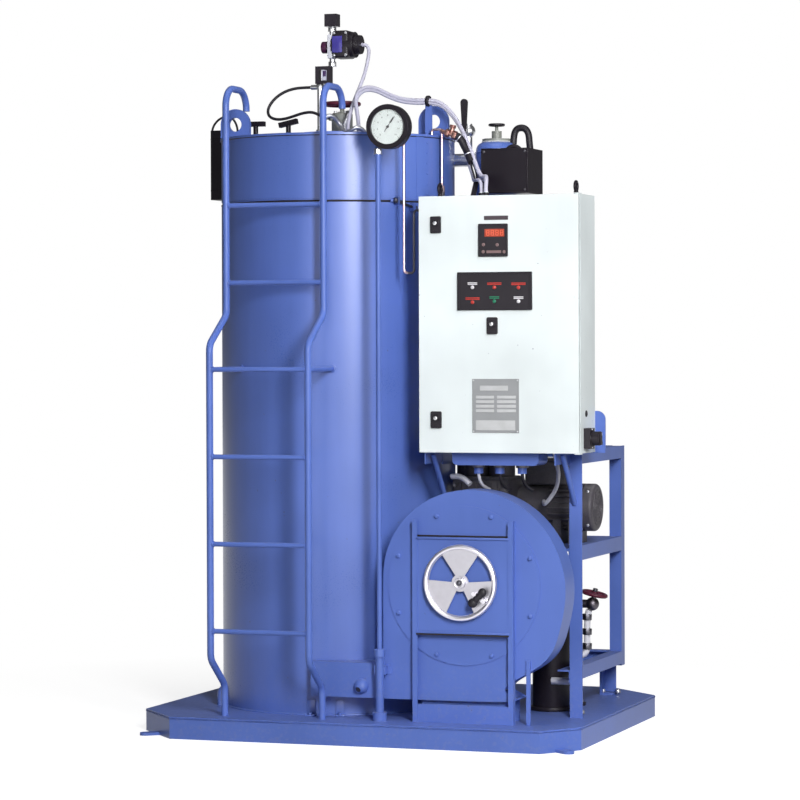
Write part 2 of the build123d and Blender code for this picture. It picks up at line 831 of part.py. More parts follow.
def make_frame():
    """Angle-iron posts and rails, the shelf plate on the middle rails and the rear foot."""
    right = (1, 0, 0)
    left = (-1, 0, 0)
    forward = (0, -1, 0)
    back = (0, 1, 0)
    down = (0, 0, -1)
    post_x = frame_right_x - angle_size
    rear_bottom = low_rail_top - angle_size
    rear_face = frame_rear_y - angle_size
    rear_left = (frame_left_x, frame_rear_y)
    posts = [
        angle_bar((post_x, frame_front_y, base_height), (post_x, frame_front_y, frame_top), right, back),
        angle_bar(
            (frame_rear_right_x, rear_face, rear_bottom),
            (frame_rear_right_x, rear_face, frame_top),
            left, back,
        ),
        angle_bar((*rear_left, base_height), (*rear_left, frame_top), right, forward),
        angle_bar(
            (frame_left_x, frame_front_y, base_height),
            (frame_left_x, frame_front_y, mid_rail_top),
            right, back,
        ),
    ]
    posts[1] += make_rear_foot(rear_face, rear_bottom)
    save("frame_posts", Compound(posts))

    side_rails = []
    cross_rails = []
    left_inner = frame_left_x + angle_thickness
    for top in (frame_top, mid_rail_top, low_rail_top):
        front_y = frame_front_y + angle_thickness
        side_rails.append(angle_bar((post_x, front_y, top), (post_x, rear_face, top), left, down))
        rear_y = frame_rear_y - angle_thickness
        start = (left_inner, front_y, top)
        side_rails.append(angle_bar(start, (left_inner, rear_y, top), right, down))
        cross_start = (left_inner + angle_size, frame_rear_y, top)
        cross_end = (frame_rear_right_x - angle_size, frame_rear_y, top)
        cross_rails.append(angle_bar(cross_start, cross_end, forward, down))
    save("frame_side_rails", Compound(side_rails))
    save("frame_cross_rails", Compound(cross_rails))

    shelf = block(
        (left_inner, post_x),
        (frame_front_y + angle_thickness, rear_face),
        (mid_rail_top, mid_rail_top + shelf_thickness),
    )
    save("motor_shelf", shelf)


def make_cabinet():
    """Open-fronted sheet cabinet, its door on two hinge pins and what the door carries."""
    front_y = cabinet_back_y - cabinet_depth
    outer = block(
        (cabinet_left, cabinet_right), (front_y, cabinet_back_y), (cabinet_bottom, cabinet_top)
    )
    inner = block(
        (cabinet_left + cabinet_wall, cabinet_right - cabinet_wall),
        (front_y, cabinet_back_y - cabinet_wall),
        (cabinet_bottom + cabinet_wall, cabinet_top - cabinet_wall),
    )
    body = outer - inner
    for x, y in roof_gland_places:
        body += rod((x, y, cabinet_top), (x, y, cabinet_top + gland_height), gland_radius)
    save("cabinet_body", body)

    door_back = front_y - door_gap
    door_front = door_back - door_thickness
    door_z = (cabinet_bottom + door_side_gap, cabinet_top - door_side_gap)
    door = block((cabinet_left, cabinet_right), (door_front, door_back), door_z)
    back_right = door.edges().filter_by(Axis.Z).group_by(Axis.Y)[-1].sort_by(Axis.X)[-1]
    door = chamfer(back_right, door_thickness / 2)
    door -= block(
        (cabinet_left + door_rim, cabinet_right - 2 * door_rim),
        (door_front + cabinet_wall, door_back),
        (door_z[0] + door_rim, door_z[1] - door_rim),
    )
    hinge_x = cabinet_right - hinge_inset
    hinge_y = door_back - door_thickness / 2 - cabinet_wall
    tabs = []
    for z, out in ((cabinet_bottom, -1), (cabinet_top, 1)):
        inside = z - out * door_rim
        outside = z + out * hinge_tab_thickness
        pin = rod((hinge_x, hinge_y, inside), (hinge_x, hinge_y, z), hinge_pin_radius)
        z_range = (min(z, outside), max(z, outside))
        y_range = (door_front + hinge_tab_inset, front_y + hinge_tab_lap)
        tab = block((hinge_x - hinge_inset, cabinet_right), y_range, z_range)
        tabs.append(tab + pin)
        socket_end = inside - out * door_gap
        door -= rod((hinge_x, hinge_y, socket_end), (hinge_x, hinge_y, z), hinge_pin_radius + fit_gap)
    save("cabinet_door", door)
    save("door_hinges", Compound(tabs))

    locks = []
    for across, up in lock_places:
        plane = front_plane(door_front) * Pos(cabinet_left + across, cabinet_bottom + up)
        body = extrude(plane * RectangleRounded(*lock_size, lock_corner), fitting_proud)
        knob = Pos(0, lock_knob_rise) * Circle(lock_knob_radius)
        body += extrude(plane * knob, fitting_proud + lock_knob_reach)
        locks.append(body)
    save("door_locks", Compound(locks))

    for name, size, place in (
        ("controller_unit", controller_size, controller_place),
        ("annunciator_panel", annunciator_size, annunciator_place),
    ):
        plane = front_plane(door_front) * Pos(cabinet_left + place[0], cabinet_bottom + place[1])
        save(name, extrude(plane * RectangleRounded(*size, fitting_corner), fitting_proud))


def make_cabinet_fittings():
    """Cable tray with its glands, isolator on the right side and lifting eyes on the roof."""
    tray_width, tray_depth, tray_height = tray_size
    middle_x = cabinet_left + tray_place
    tray = Pos(middle_x, cabinet_bottom - tray_height / 2) * Rectangle(tray_width, tray_height)
    tray = extrude(front_plane(cabinet_back_y - tray_inset) * tray, tray_depth)
    tray = fillet(tray.edges().filter_by(Axis.Y).group_by(Axis.Z)[0], tray_corner)
    gland_y = cabinet_back_y - tray_inset - tray_depth / 2
    tray_bottom = cabinet_bottom - tray_height
    for shift in tray_gland_shifts:
        x = middle_x + shift
        tray += rod((x, gland_y, tray_bottom), (x, gland_y, tray_bottom - tray_gland_length), tray_gland_radius)
    save("gland_tray", tray)

    box_width, box_depth, box_height = isolator_size
    box_right = cabinet_right + box_width
    y = cabinet_back_y - isolator_inset
    z = cabinet_bottom + isolator_rise
    isolator = block(
        (cabinet_right, box_right),
        (y - box_depth / 2, y + box_depth / 2),
        (z - box_height / 2, z + box_height / 2),
    )
    isolator += rod((box_right, y, z), (box_right + isolator_knob_length, y, z), isolator_knob_radius)
    save("isolator_switch", isolator)

    eyes = []
    y = cabinet_back_y - cabinet_depth / 2
    for x in (cabinet_left + roof_eye_inset, cabinet_right - roof_eye_inset):
        stem = rod((x, y, cabinet_top), (x, y, cabinet_top + roof_eye_stem_height), roof_eye_stem_radius)
        ring_z = cabinet_top + roof_eye_stem_height + roof_eye_radius
        ring = Pos(x, y, ring_z) * Rot(0, 90, 0) * Torus(roof_eye_radius, roof_eye_bar_radius)
        eyes.append(stem + ring)
    save("cabinet_eyes", Compound(eyes))


def make_cabinet_brackets():
    """Arms under the cabinet with knee braces from the front posts, and the side bracket."""
    brackets = []
    y_front = cabinet_back_y - cabinet_depth
    sheet = bracket_sheet
    for x in (frame_right_x - angle_size, frame_left_x + angle_thickness):
        x_range = (x, x + bracket_width)
        y_range = (y_front, frame_front_y)
        arm = block(x_range, y_range, (cabinet_bottom - sheet, cabinet_bottom))
        arm += block((x, x + sheet), y_range, (cabinet_bottom - bracket_width, cabinet_bottom))
        start = (x + bracket_width / 2, frame_front_y, cabinet_bottom - brace_drop)
        end = (x + bracket_width / 2, y_front + brace_inset, cabinet_bottom - sheet)
        brace = rod(start, end, brace_radius)
        limit = block(x_range, y_range, (cabinet_bottom - 2 * brace_drop, cabinet_bottom - sheet))
        brackets.append(arm + (brace & limit))
    plate_width, plate_height = side_plate_size
    plate_right = frame_right_x + side_plate_reach
    plate_middle = Pos(plate_right - plate_width / 2, frame_top + plate_height / 2)
    plate = plate_middle * Rectangle(plate_width, plate_height)
    solid = extrude(front_plane(cabinet_back_y + side_plate_thickness) * plate, side_plate_thickness)
    brackets.append(fillet(solid.edges().filter_by(Axis.Y).group_by(Axis.Z)[-1], side_plate_corner))
    save("cabinet_brackets", Compound(brackets))


def make_pump_set():
    """Finned motor and feed pump on the shelf, axis along X."""
    shelf_top = mid_rail_top + shelf_thickness
    y = pump_axis_y
    z = pump_centre_z
    cowl_left = pump_motor_right - motor_cowl_length
    body = rod((pump_motor_left, y, z), (cowl_left, y, z), pump_motor_radius - fin_height)
    fin_middle = pump_motor_radius - fin_height / 2 - fin_root
    for index in range(fin_count):
        fin = Pos(0, fin_middle) * Rectangle(fin_thickness, fin_height + 2 * fin_root)
        turn = Rot(0, 0, 360 / fin_count * index)
        section = Plane(origin=(pump_motor_left, y, z), z_dir=(1, 0, 0)) * turn * fin
        body += extrude(section, cowl_left - fin_root - pump_motor_left)
    cowl = rod((cowl_left, y, z), (pump_motor_right, y, z), pump_motor_radius)
    body += fillet(cowl.edges().filter_by(GeomType.CIRCLE).group_by(Axis.X)[-1], cowl_rounding)
    for x in (pump_motor_left + motor_foot_inset, cowl_left - motor_foot_inset - motor_foot_width):
        y_range = (y - motor_foot_reach, y + motor_foot_reach)
        body += block((x, x + motor_foot_width), y_range, (shelf_top, z - pump_motor_radius / 2))
    save("pump_motor", body)

    pump = rod((pump_body_left, y, z), (pump_motor_left, y, z), pump_body_radius)
    stand_left = pump_body_left + pump_stand_inset
    pump += block(
        (stand_left, stand_left + pump_stand_size[0]),
        (y - pump_stand_size[1] / 2, y + pump_stand_size[1] / 2),
        (shelf_top, z),
    )
    outlet_x = stand_left + pump_stand_size[0] / 2
    pump += rod((outlet_x, y, z), (outlet_x, y, z + pump_outlet_height), pump_outlet_radius)
    save("feed_pump", pump)


def separator_core():
    """Solid outline of the separator vessel, with rounded ends."""
    height = separator_top - separator_bottom
    vessel = Cylinder(separator_radius, height, align=(Align.CENTER, Align.CENTER, Align.MIN))
    vessel = fillet(vessel.edges().filter_by(GeomType.CIRCLE), separator_end_radius)
    return Pos(separator_x, separator_y, separator_bottom) * vessel


def make_separator():
    """Vertical steam separator with its flanged outlet, on two legs across the frame."""
    back = separator_y + separator_radius
    centre = Pos(separator_x, outlet_z)
    reach = separator_radius + outlet_length
    neck = Circle(outlet_bore_radius + outlet_wall)
    vessel = separator_core() + extrude(front_plane(separator_y) * centre * neck, -reach)
    flange = Circle(outlet_flange_radius)
    flange -= PolarLocations(outlet_bolt_circle / 2, 4, start_angle=45) * Circle(outlet_bolt_radius)
    flange_plane = front_plane(back + outlet_length - outlet_flange_thickness)
    vessel += extrude(flange_plane * centre * flange, -outlet_flange_thickness)
    bore = extrude(front_plane(back) * centre * Circle(outlet_bore_radius), -outlet_length)
    save("steam_separator", vessel - bore)

    plate = stand_plate_thickness
    legs = []
    for side in (-1, 1):
        x = separator_x + side * stand_leg_spacing / 2
        leg = block(
            (x - plate / 2, x + plate / 2),
            (separator_y - stand_leg_width / 2, separator_y + stand_leg_width / 2),
            (frame_top, separator_bottom + stand_leg_lap),
        )
        legs.append(leg - separator_core())
    x_range = (frame_left_x + angle_thickness, frame_right_x - angle_size)
    y_range = (separator_y - stand_plate_width / 2, separator_y + stand_plate_width / 2)
    stand = block(x_range, y_range, (frame_top, frame_top + plate))
    for leg in legs:
        stand += leg
    save("separator_stand", stand)


def make_gauge():
    """Stand pipe from the deck, stepped down above its coupling, and the dial gauge on top."""
    pipe_x = gauge_x - stand_offset
    step_z = base_height + stand_lower_height
    foot_top = base_height + stand_foot_height
    stand = rod((pipe_x, gauge_y, base_height), (pipe_x, gauge_y, foot_top), stand_foot_radius)
    stand += rod((pipe_x, gauge_y, base_height), (pipe_x, gauge_y, step_z), stand_lower_radius)
    stand += rod((pipe_x, gauge_y, step_z), (pipe_x, gauge_y, gauge_z), stand_upper_radius)
    case_back = gauge_y + gauge_depth / 2
    stand -= extrude(front_plane(case_back) * Pos(gauge_x, gauge_z) * Circle(gauge_radius), gauge_depth)
    save("gauge_stand", stand)
    save("pressure_gauge", make_gauge_case())


def make_gauge_case():
    """Round gauge case with a recessed dial."""
    centre = Pos(gauge_x, gauge_z)
    case_back = gauge_y + gauge_depth / 2
    case = extrude(front_plane(case_back) * centre * Circle(gauge_radius), gauge_depth)
    case = fillet(case.edges().group_by(Axis.Y)[-1], gauge_rounding)
    recess_back = gauge_y - gauge_depth / 2 + gauge_recess
    return case - extrude(front_plane(recess_back) * centre * Circle(gauge_radius - gauge_bezel), gauge_recess)


def upper_drum_core():
    """Solid cylinder of the upper band, for trimming what is welded to it."""
    height = drum_top - seam_height + cover_boss_height
    return Pos(drum_x, drum_y, seam_height) * extrude(Circle(drum_radius), height)


def make_instrument_brackets():
    """Gauge pipe bracket, cable post, ignition box pad and burner box bracket."""
    width, depth, height = gauge_bracket_size
    duct_top = fan_z - scroll_radius(scroll_end_angle) + duct_height
    z_range = (duct_top - gauge_bracket_drop - height, duct_top - gauge_bracket_drop)
    pipe_x = gauge_x - stand_offset
    plate_front = fan_front_y - gauge_bracket_plate
    bracket = block((pipe_x - width / 2, pipe_x + width / 2), (plate_front, fan_front_y), z_range)
    bracket += block((pipe_x - depth / 2, pipe_x + depth / 2), (gauge_y, plate_front), z_range)
    hole = Pos(pipe_x, gauge_y, z_range[0]) * Cylinder(stand_lower_radius + fit_gap, 4 * height)
    bracket -= hole

    post_x = drum_x + post_offset
    post = block(
        (post_x - post_width / 2, post_x + post_width / 2),
        (post_y - post_thickness, post_y),
        (drum_top, drum_top + post_height),
    )

    pad_width, pad_height = ignition_pad_size
    box_right = drum_x - drum_radius - ignition_gap
    box_middle = drum_top + ignition_drop - ignition_size[2] / 2
    pad = block(
        (box_right, box_right + 3 * ignition_gap),
        (ignition_y - pad_width / 2, ignition_y + pad_width / 2),
        (box_middle - pad_height / 2, box_middle + pad_height / 2),
    )
    plate_back = separator_y - control_bracket_gap
    plate = block(
        (separator_x + control_bracket_gap / 4, separator_x + separator_radius),
        (control_box_back, plate_back),
        control_bracket_z,
    )
    save("instrument_brackets", Compound([
        bracket,
        post,
        pad - upper_drum_core(),
        plate - separator_core(),
    ]))


def make_copper_lines():
    """Capillary loop from the cover into the cabinet and a short drop tube at the right."""
    start_x, start_y = drum_x + capillary_offset[0], drum_y + capillary_offset[1]
    run_x = cabinet_left - capillary_gap
    loop_x = run_x + capillary_loop_width
    entry_z = cabinet_top - capillary_entry_drop
    capillary = bent_bar([
        (start_x, start_y, drum_top),
        (start_x, start_y, drum_top + capillary_rise),
        (run_x, capillary_y, drum_top - capillary_dip),
        (run_x, capillary_y, entry_z - capillary_loop_height),
        (loop_x, capillary_y, entry_z - capillary_loop_height),
        (loop_x, capillary_y, entry_z),
        (cabinet_left, capillary_y, entry_z),
    ], copper_radius, capillary_bend)

    top_x, top_y = drum_x + drum_radius - drop_inset, drum_y + drop_shift_y
    drop_x = drum_x + drum_radius + drop_reach
    drop_top = drum_top + drop_rise
    drop_end = drum_top - drop_length
    drop = bent_bar([
        (top_x, top_y, drum_top),
        (top_x, top_y, drop_top),
        (drop_x, top_y, drop_top),
        (drop_x, top_y, drop_end),
    ], copper_radius, drop_bend)
    drop += rod((drop_x, top_y, drop_end), (drop_x, top_y, drop_end - drop_fitting), copper_end_radius)
    save("copper_lines", Compound([capillary, drop]))


def make_top_instruments():
    """Riser with its yoke, pressure switch on top, and the top valve with its handwheel."""
    boss_top = drum_top + cover_boss_height
    riser_x = drum_x + riser_offset
    riser_top = boss_top + riser_height
    riser = rod((riser_x, drum_y, boss_top), (riser_x, drum_y, riser_top), riser_radius)
    yoke_width, yoke_depth, yoke_height = yoke_size
    yoke_left = riser_x - riser_radius - yoke_wall / 4
    yoke_right = yoke_left + yoke_width
    depth_range = (drum_y - yoke_depth / 2, drum_y + yoke_depth / 2)
    yoke_top = riser_top + yoke_height
    yoke = block((yoke_left, yoke_right), depth_range, (riser_top, yoke_top))
    yoke -= block(
        (yoke_left + yoke_wall, yoke_right - yoke_wall),
        depth_range,
        (riser_top + yoke_wall, yoke_top - yoke_wall),
    )
    upper_x = riser_x + upper_riser_shift
    upper_top = yoke_top + upper_riser_height
    riser += yoke
    riser += rod((upper_x, drum_y, yoke_top), (upper_x, drum_y, upper_top), riser_radius)
    head_width, head_depth, head_height = riser_head_size
    riser += block(
        (upper_x - head_width / 2, upper_x + head_width / 2),
        (drum_y - head_depth / 2, drum_y + head_depth / 2),
        (upper_top, upper_top + head_height),
    )
    riser += rod(
        (riser_x - riser_radius / 2, drum_y, riser_top - cable_drop),
        (riser_x - cable_reach, drum_y, riser_top - cable_drop),
        gland_radius,
    )
    save("instrument_riser", riser)

    switch_left = upper_x + riser_radius
    switch_right = switch_left + switch_length
    z = yoke_top + switch_height
    switch = rod((switch_left, drum_y, z), (switch_right, drum_y, z), switch_radius)
    switch += rod((switch_right, drum_y, z), (switch_right + switch_cap_length, drum_y, z), switch_cap_radius)
    save("pressure_switch", switch)

    valve_x = drum_x + top_valve_offset
    valve_top = boss_top + top_valve_height
    stem_top = valve_top + top_stem_length
    valve = Cylinder(top_valve_radius, top_valve_height, align=(Align.CENTER, Align.CENTER, Align.MIN))
    valve = fillet(valve.edges().filter_by(GeomType.CIRCLE), top_valve_rounding)
    valve = Pos(valve_x, drum_y, boss_top) * valve
    valve += rod((valve_x, drum_y, valve_top), (valve_x, drum_y, stem_top), top_stem_radius)
    side = valve_gland_reach / math.sqrt(2)
    valve += rod(
        (valve_x, drum_y, valve_gland_z), (valve_x - side, drum_y - side, valve_gland_z), gland_radius
    )
    save("top_valve", valve)
    wheel = handwheel(top_wheel_radius, wheel_rim_radius, wheel_hub_radius, 3)
    wheel_z = stem_top + wheel_seat(wheel_rim_radius)
    save("top_handwheel", Pos(valve_x, drum_y, wheel_z) * wheel)


def make_cover_clamps():
    """Two clamp bars on short posts, near the left edge of the cover."""
    clamps = []
    y = drum_y + clamp_y
    for offset, turn in clamp_offsets:
        x = drum_x + offset
        post_top = drum_top + clamp_post_height
        post = rod((x, y, drum_top), (x, y, post_top), clamp_post_radius)
        bar = Pos(x, y, post_top + clamp_bar_size[2] / 2 - 1) * Rot(0, -turn, 0) * Box(*clamp_bar_size)
        clamps.append(post + bar)
    save("cover_clamps", Compound(clamps))


def make_ignition_box():
    """Ignition box beside the left of the band."""
    width, depth, height = ignition_size
    right = drum_x - drum_radius - ignition_gap
    top = drum_top + ignition_drop
    box = block((right - width, right), (ignition_y - depth / 2, ignition_y + depth / 2), (top - height, top))
    save("ignition_box", box)


def make_drum_connections():
    """Small drain at the foot of the drum and the flue collar at its back."""
    drain_x, drain_y = drum_x + drain_offset[0], drum_y + drain_offset[1]
    drain_z = base_height + drain_height
    drain = bent_bar([
        (drain_x + drain_reach, drain_y, drain_z),
        (drain_x, drain_y, drain_z),
        (drain_x, drain_y, base_height),
    ], drain_radius, 2 * drain_radius)
    shell_core = Pos(drum_x, drum_y, base_height) * extrude(Circle(drum_radius), seam_height - base_height)
    drain -= shell_core

    back = drum_y + drum_radius
    centre = Pos(drum_x, flue_z)
    collar = Circle(flue_bore_radius + flue_wall) - Circle(flue_bore_radius)
    lap = flue_bore_radius / 2
    flue = extrude(front_plane(back - lap) * centre * collar, -(lap + flue_length))
    flange = Circle(flue_flange_radius) - Circle(flue_bore_radius)
    flue += extrude(front_plane(back + flue_length - flue_wall) * centre * flange, -flue_wall)
    blank = centre * Circle(flue_bore_radius + flue_wall)
    flue += extrude(front_plane(back) * blank, -flue_wall)
    save("drum_connections", Compound([drain, flue - shell_core]))


def make_separator_valves():
    """Steam line with a lever valve, top valve and side valve with their handwheels."""
    line_z = drum_top - line_drop
    line = rod((drum_x + drum_radius / 2, separator_y, line_z), (separator_x, separator_y, line_z), line_radius)
    line = line - upper_drum_core() - separator_core()
    valve_z = line_z + lever_valve_rise
    x = lever_valve_x
    line += rod((x, separator_y, line_z), (x, separator_y, valve_z + lever_valve_radius), lever_valve_neck)
    line += Pos(x, separator_y, valve_z) * Sphere(lever_valve_radius)
    stem_y = separator_y - lever_stem_reach
    line += rod((x, separator_y, valve_z), (x, stem_y, valve_z), lever_stem_radius)
    gland_end = separator_y - line_radius - gland_height
    line += rod((line_gland_x, separator_y, line_z), (line_gland_x, gland_end, line_z), gland_radius)
    save("steam_line", line)

    lever_back = stem_y - fit_gap
    foot = lever_foot_width / 2
    head = lever_head_width / 2
    profile = make_face(Polyline(
        (-foot, -foot),
        (foot, -foot),
        (head, lever_length - head),
        (-head, lever_length - head),
        close=True,
    ))
    profile += Pos(0, lever_length - head) * Circle(head)
    profile += Circle(foot)
    save("valve_lever", extrude(front_plane(lever_back) * Pos(x, valve_z) * profile, lever_thickness))

    neck_bottom = separator_top + top_fitting_height
    stem_bottom = neck_bottom + top_neck_height
    stem_top = stem_bottom + small_stem_length
    axis_point = (separator_x, separator_y)
    top = rod((*axis_point, separator_top), (*axis_point, neck_bottom), top_fitting_radius)
    top += rod((*axis_point, neck_bottom), (*axis_point, stem_bottom), top_neck_radius)
    top += rod((*axis_point, stem_bottom), (*axis_point, stem_top), small_stem_radius)
    wheel_z = stem_top + wheel_seat(separator_wheel_rim)
    wheel = handwheel(separator_wheel_radius, separator_wheel_rim, small_stem_radius + 2, 3)
    save("separator_handwheel", Pos(*axis_point, wheel_z) * wheel)

    side_x = separator_x + side_valve_reach
    side_z = separator_top - side_valve_drop
    bonnet_end = separator_y - side_bonnet_length
    side_end = (side_x + 2 * side_valve_radius, separator_y, side_z)
    side = rod((separator_x, separator_y, side_z), side_end, side_valve_radius)
    side += rod((side_x, separator_y, side_z), (side_x, bonnet_end, side_z), side_bonnet_radius)
    save("separator_valves", Compound([top, side - separator_core()]))
    wheel_y = bonnet_end - wheel_seat(wheel_rim_radius)
    wheel = handwheel(side_wheel_radius, wheel_rim_radius, side_bonnet_radius, 3)
    save("side_handwheel", Pos(side_x, wheel_y, side_z) * Rot(90, 0, 0) * wheel)


def make_control_box():
    """Burner control box in front of the separator, clear of the cabinet roof."""
    width, depth, height = control_box_size
    left = separator_x + control_box_shift
    top = separator_top - control_box_drop
    save("burner_control_box", block(
        (left, left + width), (control_box_back - depth, control_box_back), (top - height, top)
    ))


def make_inlet_valve():
    """Feed inlet pipe with a valve standing between the right posts."""
    body_x = inlet_x + inlet_reach
    pipe = bent_bar([
        (inlet_x, inlet_y, base_height),
        (inlet_x, inlet_y, inlet_z),
        (body_x, inlet_y, inlet_z),
    ], inlet_radius, inlet_bend)
    flange_top = base_height + inlet_flange_thickness
    pipe += rod((inlet_x, inlet_y, base_height), (inlet_x, inlet_y, flange_top), inlet_flange_radius)
    for z in union_heights:
        pipe += rod((inlet_x, inlet_y, z), (inlet_x, inlet_y, z + union_length), union_radius)
    pipe += Pos(body_x, inlet_y, inlet_z) * Sphere(inlet_body_radius)
    stem = Pos(body_x, inlet_y, inlet_z) * Rot(0, inlet_tilt, 0)
    pipe += stem * Pos(0, 0, inlet_stem_length / 2) * Cylinder(inlet_stem_radius, inlet_stem_length)
    save("inlet_valve", pipe)
    wheel = handwheel(inlet_wheel_radius, inlet_wheel_rim, inlet_wheel_hub, 3)
    save("inlet_handwheel", stem * Pos(0, 0, inlet_stem_length + wheel_seat(inlet_wheel_rim)) * wheel)


def cord_tube(name, points, diameter):
    """Tube along a route of straight runs, each corner with the largest arc its runs allow."""
    corners = [Vector(*point) for point in points]
    radii = []
    for before, corner, after in zip(corners, corners[1:], corners[2:]):
        first = corner - before
        second = after - corner
        turn = math.radians(first.get_angle(second))
        radii.append(0.45 * min(first.length, second.length) / math.tan(turn / 2))
    print(name, "radii", [round(radius, 1) for radius in radii])
    path = FilletPolyline(*points, radius=radii)
    section = Plane(origin=path @ 0, z_dir=path % 0) * Circle(diameter / 2)
    return sweep(section, path=path)


def make_cables():
    """Cables held between two housings, and the two shorter leads at the left of the cover."""
    save("conduits", Compound([
        cord_tube("switch lead", switch_route, lead_diameter),
        cord_tube("conduit", conduit_route, conduit_diameter),
        cord_tube("cabinet lead", cabinet_route, lead_diameter),
    ]))
    save("cable_loop", Compound([
        cord_tube("riser cable", riser_route, cable_diameter),
        cord_tube("ignition lead", ignition_route, ignition_lead_diameter),
    ]))


def main():
    os.makedirs("parts", exist_ok=True)
    make_base()
    make_drum()
    make_lifting_lugs()
    make_ladder()
    make_fan()
    make_fan_support()
    make_damper()
    make_frame()
    make_cabinet()
    make_cabinet_fittings()
    make_cabinet_brackets()
    make_pump_set()
    make_separator()
    make_gauge()
    make_copper_lines()
    make_top_instruments()
    make_cover_clamps()
    make_ignition_box()
    make_drum_connections()
    make_instrument_brackets()
    make_separator_valves()
    make_control_box()
    make_inlet_valve()
    make_cables()


main()
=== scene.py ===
import math

import bmesh
import bpy
from mathutils import Matrix, Quaternion, Vector


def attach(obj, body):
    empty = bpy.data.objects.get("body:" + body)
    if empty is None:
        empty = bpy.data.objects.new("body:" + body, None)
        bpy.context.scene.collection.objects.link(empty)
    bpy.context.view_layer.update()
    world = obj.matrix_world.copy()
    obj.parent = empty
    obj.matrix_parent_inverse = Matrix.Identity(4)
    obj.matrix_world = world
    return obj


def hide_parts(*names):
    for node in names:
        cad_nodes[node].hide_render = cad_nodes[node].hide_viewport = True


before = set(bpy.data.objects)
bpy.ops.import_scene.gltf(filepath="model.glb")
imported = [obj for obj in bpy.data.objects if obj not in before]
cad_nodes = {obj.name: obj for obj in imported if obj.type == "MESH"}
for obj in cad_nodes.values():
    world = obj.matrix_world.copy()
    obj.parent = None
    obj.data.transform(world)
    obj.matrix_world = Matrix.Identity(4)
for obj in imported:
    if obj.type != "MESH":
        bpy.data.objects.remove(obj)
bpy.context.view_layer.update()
bpy.ops.object.select_all(action="DESELECT")


# Camera
# A long lens about eleven metres away, a little to the right of the front
# and level with the middle of the drum.
turn = math.radians(18.6)
pitch = math.radians(0.63)
roll = math.radians(-0.18)
backward = Vector(
    (math.sin(turn) * math.cos(pitch), -math.cos(turn) * math.cos(pitch), math.sin(pitch))
)
level_right = (-backward).cross(Vector((0, 0, 1))).normalized()
level_up = level_right.cross(-backward)
camera_right = math.cos(roll) * level_right + math.sin(roll) * level_up
camera_up = math.cos(roll) * level_up - math.sin(roll) * level_right
lens = bpy.data.cameras.new("camera")
lens.sensor_fit = "HORIZONTAL"
lens.sensor_width = 36.0
lens.lens = 3066.91 / 800 * lens.sensor_width
lens.shift_x = (400 - 437.66) / 800
lens.shift_y = (374.71 - 400) / 800
lens.clip_end = 80
camera = bpy.data.objects.new("camera", lens)
camera_axes = Matrix((camera_right, camera_up, backward)).transposed().to_4x4()
camera.matrix_world = Matrix.Translation((3.64047, -10.44151, 1.37769)) @ camera_axes
bpy.context.collection.objects.link(camera)
bpy.context.scene.camera = camera


# Studio
# A white floor that keeps a faint soft shadow, a tall soft lamp to the front right, one
# at the right, one overhead, and a wide white screen that shows only in glossy paint.
bpy.context.scene.view_settings.view_transform = "Standard"


class Wire:
    """A socket of a node tree, on which sums and products add Math nodes."""

    def __init__(self, tree, socket=None):
        self.tree = tree
        self.socket = socket

    def node(self, kind, settings=None, inputs=None, output=0):
        """A new node: its settings first, then the values or links of its sockets."""
        node = self.tree.nodes.new(kind)
        for name, value in (settings or {}).items():
            if name == "stops":
                ramp = node.color_ramp.elements
                ramp[0].position, ramp[0].color = value[0]
                ramp[1].position, ramp[1].color = value[-1]
                for place, colour in value[1:-1]:
                    ramp.new(place).color = colour
            else:
                setattr(node, name, value)
        for name, value in (inputs or {}).items():
            if isinstance(value, Wire):
                self.tree.links.new(value.socket, node.inputs[name])
            else:
                node.inputs[name].default_value = value
        return Wire(self.tree, node.outputs[output])

    def maths(self, operation, first, second):
        return self.node("ShaderNodeMath", {"operation": operation}, {0: first, 1: second})

    def blend(self, factor, first, second, kind="MIX"):
        """Two colours mixed by a factor."""
        settings = {"data_type": "RGBA", "blend_type": kind}
        return self.node("ShaderNodeMix", settings, {0: factor, 6: first, 7: second}, 2)

    def noise(self, place, scale, detail):
        """A cloudy pattern of this scale."""
        inputs = {"Vector": place, "Scale": scale, "Detail": detail}
        return self.node("ShaderNodeTexNoise", inputs=inputs)

    def part_of(self, vector, axis):
        """One axis of a vector."""
        return self.node("ShaderNodeSeparateXYZ", inputs={0: vector}, output=axis)

    def ramp(self, value, low, high):
        """0 below low, 1 above high and an even climb between them."""
        inputs = {"Value": value, "From Min": low, "From Max": high}
        return self.node("ShaderNodeMapRange", {"clamp": True}, inputs)

    def __add__(self, other):
        return self.maths("ADD", self, other)

    def __mul__(self, other):
        return self.maths("MULTIPLY", self, other)

    def __rsub__(self, other):
        return self.maths("SUBTRACT", other, self)

    __radd__ = __add__
    __rmul__ = __mul__


room_light = 0.11
room = bpy.data.worlds.new("studio_room")
bpy.context.scene.world = room
room.use_nodes = True
air = Wire(room.node_tree)
towards = air.node("ShaderNodeTexCoord", output="Generated")
behind = air.ramp(air.part_of(towards, "Y"), 0.1, 0.7)
seen_straight = air.node("ShaderNodeLightPath", output="Is Camera Ray")
seen_through = air.node("ShaderNodeLightPath", output="Is Transmission Ray")
mirrored = air.node("ShaderNodeLightPath", output="Is Glossy Ray")
seen_white = air.maths("MAXIMUM", seen_straight, seen_through)
white_share = air.maths("MAXIMUM", seen_white, mirrored * behind * 0.04)
room.node_tree.nodes["Background"].inputs["Color"].default_value = (1, 1, 1, 1)
room.node_tree.links.new(
    (white_share * (1 - room_light) + room_light).socket,
    room.node_tree.nodes["Background"].inputs["Strength"],
)

